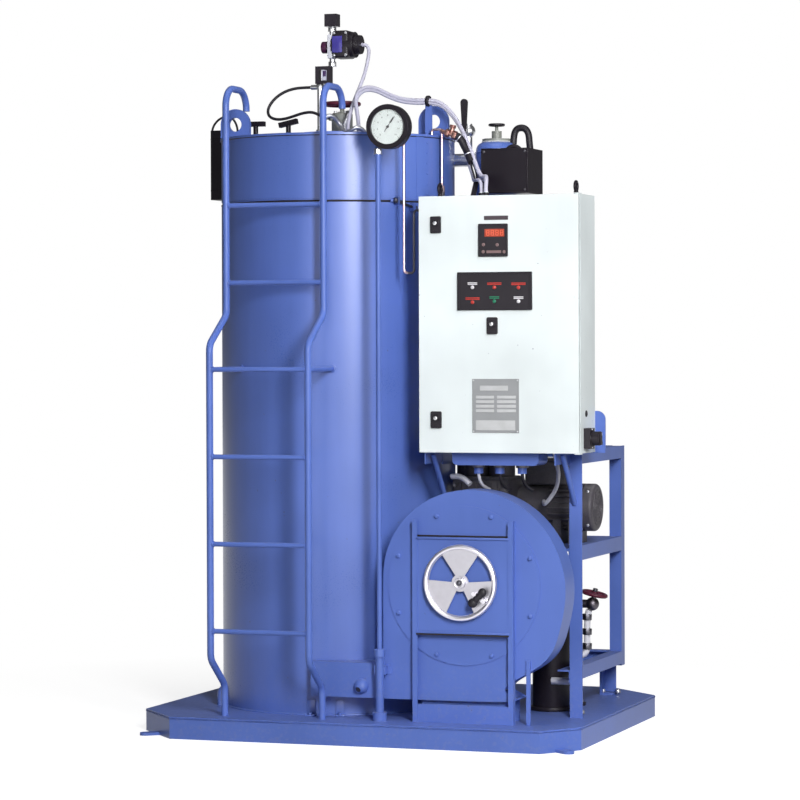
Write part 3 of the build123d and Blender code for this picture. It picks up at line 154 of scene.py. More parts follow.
bpy.ops.mesh.primitive_plane_add(size=60, location=(0, 0, -0.0005))
floor = bpy.context.object
floor.name = "studio_floor"
floor_paint = bpy.data.materials.new("studio_floor")
floor_paint.use_nodes = True
ground = Wire(floor_paint.node_tree)
floor_nodes = floor_paint.node_tree.nodes
floor_shader = floor_nodes["Principled BSDF"]
floor_shader.inputs["Base Color"].default_value = (0.50, 0.50, 0.50, 1)
floor_shader.inputs["Roughness"].default_value = 0.9
floor_shader.inputs["Specular IOR Level"].default_value = 0.0
floor_shader.inputs["Emission Color"].default_value = (1, 1, 1, 1)
floor_seen = ground.maths(
    "MAXIMUM",
    ground.node("ShaderNodeLightPath", output="Is Camera Ray"),
    ground.node("ShaderNodeLightPath", output="Is Glossy Ray"),
)
floor_shade = floor_seen * 0.80
ground.tree.links.new(floor_shade.socket, floor_shader.inputs["Emission Strength"])
floor_place = ground.node("ShaderNodeTexCoord", output="Object")
floor_distance = ground.node("ShaderNodeVectorMath", {"operation": "LENGTH"}, {0: floor_place}, 1)
far_away = ground.ramp(floor_distance, 1.3, 2.6)
far_glow = ground.node("ShaderNodeEmission", inputs={"Strength": floor_seen * 0.82 + 0.18})
floor_mix = ground.node(
    "ShaderNodeMixShader",
    inputs={0: far_away, 1: Wire(ground.tree, floor_shader.outputs[0]), 2: far_glow},
)
ground.tree.links.new(floor_mix.socket, floor_nodes["Material Output"].inputs[0])
floor.data.materials.append(floor_paint)


def soft_lamp(name, place, aim, size, level, only_gloss=False):
    """A square-on area lamp that gives a facing white surface this brightness, or only a sheen."""
    lamp = bpy.data.lights.new(name, "AREA")
    lamp.shape = "RECTANGLE"
    lamp.size, lamp.size_y = size
    reach = Vector(aim) - Vector(place)
    lamp.energy = math.pi**2 * reach.length_squared * level
    stand = bpy.data.objects.new(name, lamp)
    stand.location = place
    stand.rotation_euler = reach.to_track_quat("-Z", "Y").to_euler()
    stand.visible_camera = False
    stand.visible_diffuse = not only_gloss
    bpy.context.collection.objects.link(stand)


soft_lamp("key_lamp", (3.1, -5.0, 2.9), (0, -0.3, 1.1), (0.9, 2.4), 0.92)
soft_lamp("right_lamp", (2.7, -1.2, 2.5), (0.7, -0.4, 1.7), (0.9, 1.1), 0.30)
soft_lamp("top_lamp", (0.6, -1.2, 5.6), (0, 0, 1.0), (2.6, 2.6), 0.24)
soft_lamp("white_wall", (3.0, -8.47, 1.5), (-0.228, -0.064, 1.3), (10.8, 6.0), 0.76, only_gloss=True)


# Cables on the cover
# A ribbed conduit and four plain leads with rubber jackets, run by hand between
# screwed glands, and tied to the flat post where the conduit crosses it.
def open_object(piece):
    """Leave edit mode and select one object alone."""
    if bpy.context.mode != "OBJECT":
        bpy.ops.object.mode_set(mode="OBJECT")
    bpy.ops.object.select_all(action="DESELECT")
    piece.select_set(True)
    bpy.context.view_layer.objects.active = piece


def open_faces(piece, wanted):
    """Edit mode with only those faces selected whose centre and normal are wanted."""
    open_object(piece)
    bpy.ops.object.mode_set(mode="EDIT")
    bpy.ops.mesh.select_mode(type="FACE")
    bpy.ops.mesh.select_all(action="DESELECT")
    shape = bmesh.from_edit_mesh(piece.data)
    for face in shape.faces:
        face.select_set(wanted(face.calc_center_median(), face.normal))
    bmesh.update_edit_mesh(piece.data)


def bevelled(piece, width, segments=2, limit=35):
    """Sharp edges broken by a small round."""
    open_object(piece)
    edge = piece.modifiers.new("edge", "BEVEL")
    edge.width = width
    edge.segments = segments
    edge.limit_method = "ANGLE"
    edge.angle_limit = math.radians(limit)
    bpy.ops.object.modifier_apply(modifier="edge")
    return piece


def joined(parts):
    """Several modelled parts as one mesh."""
    open_object(parts[0])
    for part in parts:
        part.select_set(True)
    bpy.ops.object.join()
    return parts[0]


def spread(model, spots):
    """Copies of one modelled fixing at (place, direction) spots, joined into one piece."""
    copies = []
    for index, (place, direction) in enumerate(spots):
        copy = bpy.data.objects.new(model.name, model.data.copy())
        bpy.context.collection.objects.link(copy)
        facing = Vector(direction).to_track_quat("Z", "Y")
        own_turn = Quaternion((0, 0, 1), 0.61 * index)
        copy.matrix_world = Matrix.Translation(place) @ (facing @ own_turn).to_matrix().to_4x4()
        copies.append(copy)
    bpy.data.objects.remove(model)
    bpy.context.view_layer.update()
    return joined(copies)


def settle(piece, name, finish, body="boiler", angle=32):
    """Fix a finished piece, or several as one, in its mesh, coat it and let it ride."""
    if isinstance(piece, list):
        piece = joined(piece)
    open_object(piece)
    bpy.ops.object.transform_apply(location=True, rotation=True, scale=True)
    bpy.ops.object.shade_smooth_by_angle(angle=math.radians(angle))
    piece.name = name
    piece.data.name = name
    piece.data.materials.clear()
    piece.data.materials.append(finish)
    for face in piece.data.polygons:
        face.material_index = 0
    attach(piece, body)
    return piece


def open_finish(name):
    """A new material with its node tree, its shader and the place on the object."""
    finish = bpy.data.materials.new(name)
    finish.use_nodes = True
    skin = Wire(finish.node_tree)
    shader = finish.node_tree.nodes["Principled BSDF"]
    return finish, skin, shader, skin.node("ShaderNodeTexCoord", output="Object")


def close_finish(skin, shader, relief, depth, reach, **looks):
    """Link the tone, the dullness and a relief of this depth to the shader."""
    inputs = {"Strength": depth, "Distance": reach, "Height": relief}
    looks["Normal"] = skin.node("ShaderNodeBump", inputs=inputs)
    for name, look in looks.items():
        skin.tree.links.new(look.socket, shader.inputs[name.replace("_", " ")])


def moulded(name, colour, roughness=0.5, worn=0.25):
    """Moulded plastic or rubber: fine grain, with cloudy patches that are slightly greyed and duller."""
    finish, skin, shader, place = open_finish(name)
    shader.inputs["Specular IOR Level"].default_value = 0.3
    cloud = skin.noise(place, 14.0, 4.0)
    pale = [min(1.0, c * 1.25 + 0.035) for c in colour]
    greyed = skin.ramp(cloud, 0.45, 0.8) * worn
    tone = skin.blend(greyed, (*colour, 1), (*pale, 1))
    dull = cloud * 0.2 + (roughness - 0.1)
    close_finish(skin, shader, skin.noise(place, 900.0, 2.0), 0.15, 0.0005, Base_Color=tone, Roughness=dull)
    return finish


def route_curve(name, points, radius=0.0, facets=5, steps=10, kind="NURBS"):
    """A smooth NURBS line through its control points, or straight runs between them."""
    line = bpy.data.curves.new(name, "CURVE")
    line.dimensions = "3D"
    spline = line.splines.new(kind)
    spline.points.add(len(points) - 1)
    for point, place in zip(spline.points, points):
        point.co = (*place, 1)
    if kind == "NURBS":
        spline.order_u = 3
        spline.use_endpoint_u = True
        spline.resolution_u = steps
    line.bevel_depth = radius
    line.bevel_resolution = facets
    line.use_fill_caps = radius > 0
    piece = bpy.data.objects.new(name, line)
    bpy.context.collection.objects.link(piece)
    return piece


def plain_lead(name, points, diameter, finish, node):
    """A round rubber lead along its route."""
    lead = route_curve(name, points, diameter / 2)
    lead.data.materials.append(finish)
    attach(lead, "boiler")
    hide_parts(node)


def ribbed_lead(name, points, diameter, pitch, finish, node, beside=(0.0, 0.0, 0.0)):
    """A corrugated conduit along its route, or beside it between the two shared ends."""
    guide = route_curve(name + "_guide", points)
    bpy.context.view_layer.update()
    evaluated = guide.evaluated_get(bpy.context.evaluated_depsgraph_get())
    traced = bpy.data.meshes.new_from_object(evaluated)
    spots = [vertex.co.copy() for vertex in traced.vertices]
    bpy.data.objects.remove(guide)
    lengths = [0.0]
    for first, second in zip(spots, spots[1:]):
        lengths.append(lengths[-1] + (second - first).length)
    count = int(lengths[-1] / (pitch / 2))
    shape = bmesh.new()
    sides = 14
    rings = []
    side_way = Vector((0, 0, 1))
    reached = 0
    for index in range(count + 1):
        travelled = lengths[-1] * index / count
        while reached < len(lengths) - 2 and lengths[reached + 1] < travelled:
            reached += 1
        run = spots[reached + 1] - spots[reached]
        middle = spots[reached] + run.normalized() * (travelled - lengths[reached])
        part_way = index / count
        middle = middle + Vector(beside) * min(1.0, 8 * part_way, 8 * (1 - part_way))
        ahead = run.normalized()
        side_way = (side_way - ahead * side_way.dot(ahead)).normalized()
        across = ahead.cross(side_way)
        width = diameter / 2 * (1.0 if index % 2 else 0.86)
        ring = []
        for side in range(sides):
            angle = 2 * math.pi * side / sides
            outward = math.cos(angle) * side_way + math.sin(angle) * across
            ring.append(shape.verts.new(middle + width * outward))
        rings.append(ring)
    for first, second in zip(rings, rings[1:]):
        for side in range(sides):
            after = (side + 1) % sides
            shape.faces.new((first[side], first[after], second[after], second[side]))
    shape.faces.new(rings[0])
    shape.faces.new(rings[-1])
    bmesh.ops.recalc_face_normals(shape, faces=shape.faces)
    mesh = bpy.data.meshes.new(name)
    shape.to_mesh(mesh)
    shape.free()
    lead = bpy.data.objects.new(name, mesh)
    bpy.context.collection.objects.link(lead)
    settle(lead, name, finish, angle=50)
    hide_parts(node)


grey_jacket = moulded("grey_jacket", (0.50, 0.49, 0.60), 0.42, worn=0.4)
black_jacket = moulded("black_jacket", (0.012, 0.010, 0.015), 0.48, worn=0.12)
ribbed_lead("switch_lead", (
    (-0.137, -0.064, 2.444), (-0.126, -0.064, 2.444), (-0.114, -0.066, 2.438), (-0.107, -0.069, 2.426),
    (-0.106, -0.074, 2.404), (-0.111, -0.083, 2.362), (-0.121, -0.095, 2.316), (-0.136, -0.112, 2.268),
    (-0.146, -0.138, 2.220), (-0.142, -0.176, 2.180), (-0.140, -0.200, 2.150), (-0.140, -0.200, 2.122),
), 0.0135, 0.0040, grey_jacket, "conduits")
burner_route = (
    (-0.106, -0.182, 2.122), (-0.106, -0.182, 2.158), (-0.114, -0.180, 2.200), (-0.121, -0.174, 2.238),
    (-0.113, -0.168, 2.266), (-0.088, -0.162, 2.283), (-0.050, -0.157, 2.279), (-0.008, -0.154, 2.257),
    (0.040, -0.151, 2.238), (0.092, -0.148, 2.231), (0.142, -0.1453, 2.231), (0.186, -0.147, 2.224),
    (0.226, -0.150, 2.192), (0.258, -0.152, 2.148), (0.284, -0.158, 2.100), (0.308, -0.170, 2.052),
    (0.330, -0.190, 2.008), (0.352, -0.216, 1.970), (0.374, -0.246, 1.950), (0.396, -0.280, 1.948),
    (0.410, -0.310, 1.947), (0.417, -0.330, 1.934), (0.418, -0.338, 1.914), (0.418, -0.338, 1.892),
)
ribbed_lead("burner_conduit", burner_route, 0.0155, 0.0044, grey_jacket, "conduits")
ribbed_lead(
    "burner_conduit_second", burner_route, 0.0125, 0.0040, grey_jacket, "conduits",
    (0.002, 0.0, -0.0105),
)
plain_lead("cabinet_lead", (
    (0.235, 0.058, 2.030), (0.235, 0.038, 2.030), (0.242, 0.010, 2.018), (0.258, -0.024, 1.998),
    (0.277, -0.062, 1.978), (0.296, -0.106, 1.960), (0.314, -0.155, 1.947), (0.332, -0.205, 1.938),
    (0.353, -0.249, 1.938), (0.371, -0.279, 1.939), (0.385, -0.298, 1.932), (0.392, -0.308, 1.914),
    (0.392, -0.308, 1.892),
), 0.012, grey_jacket, "conduits")
plain_lead("riser_lead", (
    (-0.330, -0.064, 2.296), (-0.354, -0.064, 2.296), (-0.394, -0.068, 2.294), (-0.434, -0.076, 2.281),
    (-0.467, -0.086, 2.256), (-0.487, -0.097, 2.222), (-0.482, -0.105, 2.194), (-0.455, -0.110, 2.180),
    (-0.418, -0.112, 2.180), (-0.380, -0.113, 2.190), (-0.342, -0.114, 2.201), (-0.306, -0.117, 2.203),
    (-0.277, -0.119, 2.190), (-0.258, -0.110, 2.180), (-0.2474, -0.0994, 2.180),
), 0.0105, black_jacket, "cable_loop")
plain_lead("ignition_lead", (
    (-0.727, 0.015, 2.130), (-0.737, 0.015, 2.130), (-0.7465, 0.015, 2.1355), (-0.752, 0.015, 2.146),
    (-0.751, 0.014, 2.160), (-0.742, 0.012, 2.178), (-0.722, 0.008, 2.196), (-0.694, 0.002, 2.206),
    (-0.664, -0.010, 2.200), (-0.643, -0.020, 2.178), (-0.634, -0.024, 2.150), (-0.634, -0.024, 2.122),
), 0.008, black_jacket, "cable_loop")

cover_z = 2.104
roof_z = 1.874
bpy.ops.mesh.primitive_cylinder_add(vertices=6, radius=0.0150, depth=0.009, location=(0, 0, 0.0045))
nut_body = bevelled(bpy.context.object, 0.0012)
bpy.ops.mesh.primitive_cone_add(
    vertices=24, radius1=0.0125, radius2=0.0090, depth=0.013, location=(0, 0, 0.0155)
)
nut_boot = bevelled(bpy.context.object, 0.001)
up = (0, 0, 1)
gland_nuts = spread(joined([nut_body, nut_boot]), (
    ((-0.140, -0.200, cover_z), up), ((-0.106, -0.182, cover_z), up), ((-0.634, -0.024, cover_z), up),
    ((0.418, -0.338, roof_z), up), ((0.392, -0.308, roof_z), up),
))
settle(gland_nuts, "gland_nuts", black_jacket)

bpy.ops.mesh.primitive_torus_add(
    location=(0.142, -0.1405, 2.228), rotation=(0, math.pi / 2, 0),
    major_radius=0.0175, minor_radius=0.0024, major_segments=36, minor_segments=8,
)
tie_band = bpy.context.object
tie_band.scale = (1, 1, 3.0)
bpy.ops.mesh.primitive_cube_add(size=1, location=(0.142, -0.153, 2.232))
tie_head = bpy.context.object
tie_head.scale = (0.009, 0.006, 0.008)
open_object(tie_head)
bpy.ops.object.transform_apply(scale=True, location=False, rotation=False)
bevelled(tie_head, 0.001)
settle([tie_head, tie_band], "cable_tie", black_jacket)


# Skid base
# Channel welded round eight sides under a flat deck plate, with four floor lugs;
# all of it sprayed in the same blue enamel after welding.
def enamel(name, colour, streak=0.15, dust=0.35, roughness=0.36, peel=0.05, cloud=2.2, gloss=0.3):
    """Sprayed enamel: a cloudy tone, fine orange peel, dust on level faces and near the floor."""
    finish, coat, shader, place = open_finish(name)
    shader.inputs["IOR"].default_value = 1.42
    shader.inputs["Specular IOR Level"].default_value = gloss
    tall = coat.node("ShaderNodeMapping", inputs={0: place, "Scale": (14.0, 14.0, 1.1)})
    wide = coat.noise(place, cloud, 3.0)
    runs = coat.noise(tall, 1.0, 4.0)
    skin = coat.noise(place, 260.0, 2.0)
    specks = coat.noise(place, 70.0, 5.0)
    deep = [c * 0.86 for c in colour]
    light = [min(1.0, c * 1.10 + 0.006) for c in colour]
    shade = wide * (1 - streak) + runs * streak
    tone = coat.blend(coat.ramp(shade, 0.32, 0.70), (*deep, 1), (*light, 1))
    upward = coat.part_of(coat.node("ShaderNodeNewGeometry", output="Normal"), "Z")
    settled = coat.ramp(upward, 0.6, 0.95) * coat.ramp(specks, 0.35, 0.7) * dust
    near_floor = 1 - coat.ramp(coat.part_of(place, "Z"), 0.0, 0.35)
    splashed = near_floor * coat.ramp(specks, 0.5, 0.75) * (dust * 0.6)
    grime = coat.maths("MAXIMUM", settled, splashed)
    tone = coat.blend(grime, tone, (0.30, 0.31, 0.40, 1))
    chips = coat.ramp(specks, 0.735, 0.75) * 0.7
    tone = coat.blend(chips, tone, (0.10, 0.11, 0.20, 1))
    dull = skin * 0.10 + wide * 0.12 + grime * 0.5 + (roughness - 0.11)
    relief = skin * 0.6 + specks * 0.4
    close_finish(coat, shader, relief, peel, 0.001, Base_Color=tone, Roughness=dull)
    return finish


def coat_nodes(finish, *names):
    """Give CAD nodes a finish in place of their plain one."""
    for name in names:
        for place in cad_nodes[name].material_slots:
            place.material = finish


blue = (0.098, 0.168, 0.520)
base_enamel = enamel("base_enamel", blue, dust=0.28, cloud=1.6)
coat_nodes(base_enamel, "base_perimeter", "base_cross_members", "base_deck", "anchor_lugs")

deck_z = 0.0712
base_corners = (
    (-0.810, -0.471), (-0.636, -0.665), (0.704, -0.665), (0.810, -0.529),
    (0.810, 0.455), (0.586, 0.665), (-0.610, 0.665), (-0.810, 0.465),
)
deck_line = [(*corner, deck_z) for corner in base_corners]
deck_bead = route_curve("deck_bead", deck_line, 0.0022, 3, kind="POLY")
deck_bead.data.splines[0].use_cyclic_u = True
open_object(deck_bead)
bpy.ops.object.convert(target="MESH")
open_faces(deck_bead, lambda centre, normal: True)
bpy.ops.mesh.subdivide(number_cuts=12)
bpy.ops.transform.vertex_random(offset=0.0006, seed=4)
bpy.ops.object.mode_set(mode="OBJECT")
settle(deck_bead, "deck_bead", base_enamel, angle=60)


# Drum
# Rolled sheet casing round the coil, with a bolted clamp round the seam of its upper
# band, a flat cover, and weld beads where it stands on the deck.
drum_enamel = enamel("drum_enamel", blue, streak=0.35, dust=0.2, roughness=0.30, gloss=0.5)
coat_nodes(
    drum_enamel, "drum_shell", "drum_upper_band", "drum_cover", "drum_floor",
    "drum_connections", "lifting_lugs", "instrument_brackets",
)
drum_middle = Vector((-0.228, -0.064, 0))
drum_radius = 0.420


def on_drum(angle, height, proud=0.0):
    """A place on the drum's side, by its angle from the front towards the right."""
    way = Vector((math.sin(math.radians(angle)), -math.cos(math.radians(angle)), 0))
    return drum_middle + way * (drum_radius + proud) + Vector((0, 0, height)), way


def ring_piece(middle, axis, radius, thickness, segments=64, uneven=0.0):
    """A bead, cord or band round an axis, a little uneven when it is a weld."""
    bpy.ops.mesh.primitive_torus_add(
        major_radius=radius, minor_radius=thickness, major_segments=segments, minor_segments=8,
    )
    ring = bpy.context.object
    if uneven:
        open_faces(ring, lambda centre, normal: True)
        bpy.ops.transform.vertex_random(offset=uneven, seed=7)
        bpy.ops.object.mode_set(mode="OBJECT")
    facing = Vector(axis).to_track_quat("Z", "Y").to_matrix().to_4x4()
    ring.matrix_world = Matrix.Translation(middle) @ facing
    bpy.context.view_layer.update()
    return ring


# The black ring round the seam of the upper band is painted shade in the seam groove, and the black ring
# just under the cover is painted shadow under the cover's edge; the foot bead is a real weld.
for name, height, radius, thickness, finish, slot, uneven, angle in (
    ("seam_groove_shade", 1.8655, 0.4174, 0.0042, black_jacket, "black_plastic", 0.0, 32),
    ("foot_bead", 0.0785, 0.4205, 0.0040, drum_enamel, "blue_paint", 0.0008, 60),
    ("cover_edge_shadow", 2.0955, 0.4195, 0.0026, black_jacket, "black_plastic", 0.0, 32),
):
    hoop = ring_piece(drum_middle + Vector((0, 0, height)), up, radius, thickness, 180, uneven)
    settle(hoop, name, finish, angle=angle)


def hex_screw(across, head, washer):
    """A hexagon head with broken corners on a flat washer, standing on +Z."""
    bpy.ops.mesh.primitive_cylinder_add(vertices=28, radius=washer, depth=0.002, location=(0, 0, 0.001))
    disc = bevelled(bpy.context.object, 0.0005, 1)
    bpy.ops.mesh.primitive_cylinder_add(
        vertices=6, radius=across / math.sqrt(3), depth=head, location=(0, 0, 0.002 + head / 2)
    )
    cap = bpy.context.object
    open_faces(cap, lambda centre, normal: normal.z > 0.9)
    bpy.ops.mesh.inset(thickness=across * 0.09)
    bpy.ops.transform.translate(value=(0, 0, head * 0.12))
    bpy.ops.object.mode_set(mode="OBJECT")
    bevelled(cap, across * 0.02, 1, 50)
    return joined([disc, cap])


def screws(name, sizes, spots, finish, body="boiler"):
    """Hexagon heads of one size at (place, direction) spots."""
    settle(spread(hex_screw(*sizes), spots), name, finish, body)


def circle_spots(middle, axis, radius, count, first=0.0):
    """(place, direction) spots on a circle round an axis along Y or upwards."""
    spots = []
    for step in range(count):
        angle = math.radians(first + 360 / count * step)
        across, on = radius * math.cos(angle), radius * math.sin(angle)
        away = (across, on, 0) if axis[2] else (across, 0, on)
        spots.append((Vector(middle) + Vector(away), axis))
    return spots


def slab(place, size, turned=0.0, edge=0.001, segments=2):
    """A rectangular plate or bar at a place, turned about the upright axis."""
    bpy.ops.mesh.primitive_cube_add(size=1, location=place)
    piece = bpy.context.object
    piece.scale = size
    open_object(piece)
    bpy.ops.object.transform_apply(location=False, rotation=False, scale=True)
    if edge:
        bevelled(piece, edge, segments)
    piece.rotation_euler = (0, 0, turned)
    bpy.context.view_layer.update()
    return piece


def ball(place, radius, squash, segments=24):
    """A ball squashed along the axes."""
    bpy.ops.mesh.primitive_uv_sphere_add(segments=segments, ring_count=segments // 2, radius=radius)
    piece = bpy.context.object
    piece.scale = squash
    piece.location = place
    bpy.context.view_layer.update()
    return piece


def bar(start, end, radius, sides=24, edge=0.0):
    """A round bar between two places."""
    run = Vector(end) - Vector(start)
    bpy.ops.mesh.primitive_cylinder_add(vertices=sides, radius=radius, depth=run.length)
    piece = bpy.context.object
    if edge:
        bevelled(piece, edge)
    facing = run.to_track_quat("Z", "Y").to_matrix().to_4x4()
    piece.matrix_world = Matrix.Translation((Vector(start) + Vector(end)) / 2) @ facing
    bpy.context.view_layer.update()
    return piece


def metal(name, colour, roughness=0.3, brushed=(40.0, 40.0, 40.0), tarnish=(0.12, 0.10, 0.09), age=0.25):
    """Bare metal with fine working marks, cloudy tarnish and dull patches."""
    finish, face, shader, place = open_finish(name)
    shader.inputs["Metallic"].default_value = 1.0
    drawn = face.node("ShaderNodeMapping", inputs={0: place, "Scale": brushed})
    marks = face.noise(drawn, 9.0, 6.0)
    patches = face.noise(place, 22.0, 4.0)
    tone = face.blend(face.ramp(patches, 0.42, 0.75) * age, (*colour, 1), (*tarnish, 1))
    tone = face.blend(marks * 0.25, tone, (*[c * 0.7 for c in colour], 1))
    dull = marks * 0.14 + patches * 0.2 + (roughness - 0.17)
    close_finish(face, shader, marks, 0.12, 0.0006, Base_Color=tone, Roughness=dull)
    return finish


zinc = metal("zinc_plate", (0.62, 0.63, 0.66), 0.38)
dark_steel = metal("oiled_steel", (0.10, 0.10, 0.12), 0.42, age=0.4)
clamp_angle = 53.0
left_angle, right_angle = clamp_angle - 4.2, clamp_angle + 4.4
clamp_left = on_drum(left_angle, 1.866, 0.013)[0]
clamp_right = on_drum(right_angle, 1.846, 0.013)[0]
ear_size = (0.007, 0.030, 0.030)
clamp_ears = [
    slab(clamp_left, ear_size, math.radians(left_angle)),
    slab(clamp_right, ear_size, math.radians(right_angle)),
    bar(on_drum(clamp_angle - 7.0, 1.868, 0.002)[0], clamp_left, 0.007),
    bar(clamp_right, on_drum(clamp_angle + 7.0, 1.852, 0.002)[0], 0.007),
]
settle(clamp_ears, "clamp_ears", drum_enamel)
clamp_way = (clamp_right - clamp_left).normalized()
clamp_bolt = bar(clamp_left - clamp_way * 0.014, clamp_right + clamp_way * 0.018, 0.0045, 16, 0.0006)
clamp_nuts = spread(hex_screw(0.017, 0.009, 0.011), (
    (clamp_left - clamp_way * 0.004, -clamp_way),
    (clamp_right + clamp_way * 0.004, clamp_way),
))
settle([clamp_bolt, clamp_nuts], "clamp_bolt", dark_steel)

bpy.ops.mesh.primitive_plane_add(size=1)
lap_sheet = bpy.context.object
open_faces(lap_sheet, lambda centre, normal: True)
bpy.ops.transform.rotate(value=math.pi / 2, orient_axis="X", center_override=(0, 0, 0))
bpy.ops.transform.resize(value=(0.0016, 1, 0.222), center_override=(0, 0, 0))
bpy.ops.transform.translate(value=(drum_radius + 0.0009, 0, 1.983))
bpy.ops.mesh.spin(steps=6, angle=math.radians(5.0), center=(0, 0, 0), axis=up)
bpy.ops.mesh.select_all(action="SELECT")
bpy.ops.mesh.remove_doubles(threshold=0.00001)
bpy.ops.mesh.normals_make_consistent(inside=False)
bpy.ops.object.mode_set(mode="OBJECT")
lap_turn = Matrix.Rotation(math.radians(66.0 - 90), 4, "Z")
lap_sheet.matrix_world = Matrix.Translation(drum_middle) @ lap_turn
bpy.context.view_layer.update()
settle(lap_sheet, "lap_joint", drum_enamel)
rivet = ball((0, 0, 0), 0.0045, (1, 1, 0.45), 16)
open_object(rivet)
bpy.ops.object.transform_apply(location=False, rotation=False, scale=True)
rivet_spots = [on_drum(68.5, 1.895 + 0.036 * step, 0.0017) for step in range(6)]
settle(spread(rivet, rivet_spots), "lap_rivets", drum_enamel)

cleats = []
cleat_screws = []
for angle in (6.8, 20.5, 187.0, 200.0):
    spot, way = on_drum(angle, 0.104, 0.003)
    facing = math.atan2(way.x, -way.y)
    cleats.append(slab(spot, (0.030, 0.005, 0.054), facing))
    cleats.append(slab(spot + way * 0.014 - Vector((0, 0, 0.0245)), (0.030, 0.033, 0.005), facing))
    cleat_screws.append((spot + way * 0.018 - Vector((0, 0, 0.022)), up))
settle(cleats, "drum_cleats", drum_enamel)
screws("cleat_screws", (0.013, 0.006, 0.009), cleat_screws, drum_enamel)
flue_spots = circle_spots((drum_middle.x, 0.426, 1.650), (0, 1, 0), 0.148, 12, 15)
screws("flue_screws", (0.016, 0.008, 0.011), flue_spots, zinc)


# Ladder
# Two cranked round bars with rungs and stand-offs let in and welded all round,
# painted blue.
ladder_enamel = enamel("ladder_enamel", [c * 1.02 for c in blue], dust=0.3, roughness=0.32, cloud=5.0)
coat_nodes(ladder_enamel, "ladder_stile_left", "ladder_stile_right", "ladder_rungs")
stile_places = (-0.465, -0.103)
rung_places = [(0.382 + 0.300 * step, -0.701) for step in range(4)] + [(1.582, -0.547), (1.851, -0.547)]
weld_beads = []
for height, depth in rung_places:
    for stile, side in zip(stile_places, (1, -1)):
        spot = (stile + side * 0.0115, depth, height)
        weld_beads.append(ring_piece(spot, (1, 0, 0), 0.0092, 0.0026, 24, 0.0005))
settle(weld_beads, "rung_welds", ladder_enamel, angle=60)
stand_pads = []
for stile in stile_places:
    reach = math.sqrt(drum_radius**2 - (stile - drum_middle.x) ** 2)
    way = Vector(((stile - drum_middle.x) / drum_radius, -reach / drum_radius, 0))
    spot = Vector((stile, drum_middle.y - reach, 1.282))
    stand_pads.append(bar(spot - way * 0.002, spot + way * 0.004, 0.014, 32, 0.0012))
settle(stand_pads, "standoff_pads", ladder_enamel)


# Fan
# Welded scroll casing with a bolted inlet cover, a flat outlet duct, and a motor
# behind it on the casing's back.
fan_enamel = enamel("fan_enamel", blue, dust=0.4, roughness=0.38, peel=0.07)
coat_nodes(fan_enamel, "fan_casing", "fan_inlet_cover", "fan_support")
cast_aluminium = metal("cast_aluminium", (0.55, 0.56, 0.58), 0.45, age=0.35)
coat_nodes(cast_aluminium, "fan_impeller")


def casting(name, colour, roughness=0.55, sand=240.0, depth=0.35):
    """Painted casting: sandy skin with darker and paler cloudy patches, dusty on top."""
    finish, skin, shader, place = open_finish(name)
    grains = skin.noise(place, sand, 4.0)
    cloud = skin.noise(place, 9.0, 4.0)
    dark = [c * 0.75 for c in colour]
    pale = [min(1.0, c * 1.3 + 0.02) for c in colour]
    tone = skin.blend(skin.ramp(cloud * 0.6 + grains * 0.4, 0.35, 0.68), (*dark, 1), (*pale, 1))
    upward = skin.part_of(skin.node("ShaderNodeNewGeometry", output="Normal"), "Z")
    dusty = skin.ramp(upward, 0.4, 0.95) * skin.ramp(cloud, 0.3, 0.7) * 0.35
    tone = skin.blend(dusty, tone, (0.33, 0.32, 0.31, 1))
    dull = grains * 0.2 + dusty * 0.4 + (roughness - 0.1)
    close_finish(skin, shader, grains, depth, 0.001, Base_Color=tone, Roughness=dull)
    return finish


# This near black, on both motors and the pump, is partly the castings' own dark paint and partly painted
# shade of the dark space behind the fan and under the cabinet.
motor_casting = casting("motor_casting", (0.050, 0.044, 0.056))
coat_nodes(motor_casting, "fan_motor", "pump_motor", "feed_pump")
fan_x = 0.395
fan_z = 0.544
forward = (0, -1, 0)
cover_spots = circle_spots((0.397, -0.529, fan_z), forward, 0.255, 8, 22.5)
screws("cover_screws", (0.013, 0.006, 0.009), cover_spots, fan_enamel)
plug_cap = ball((0.023, -0.526, 0.190), 0.026, (1.0, 0.9, 1.0), 40)
plug_lip = ring_piece((0.019, -0.5465, 0.181), (-0.25, -1, -0.55), 0.011, 0.0028, 32)
settle([plug_cap, plug_lip], "duct_spout", fan_enamel)
# A dark steel disc at the spout's open end is painted shade inside its mouth.
spout_mouth_shade = bar((0.0200, -0.544, 0.1825), (0.0186, -0.5490, 0.1798), 0.0095, 24)
settle(spout_mouth_shade, "spout_mouth_shade", dark_steel)
impeller_spot = [((fan_x, -0.509, fan_z), forward)]
screws("impeller_screw", (0.024, 0.012, 0.018), impeller_spot, zinc)
back_spots = circle_spots((fan_x, -0.415, fan_z), (0, 1, 0), 0.128, 8, 22.5)
screws("motor_screws", (0.016, 0.008, 0.011), back_spots, zinc)


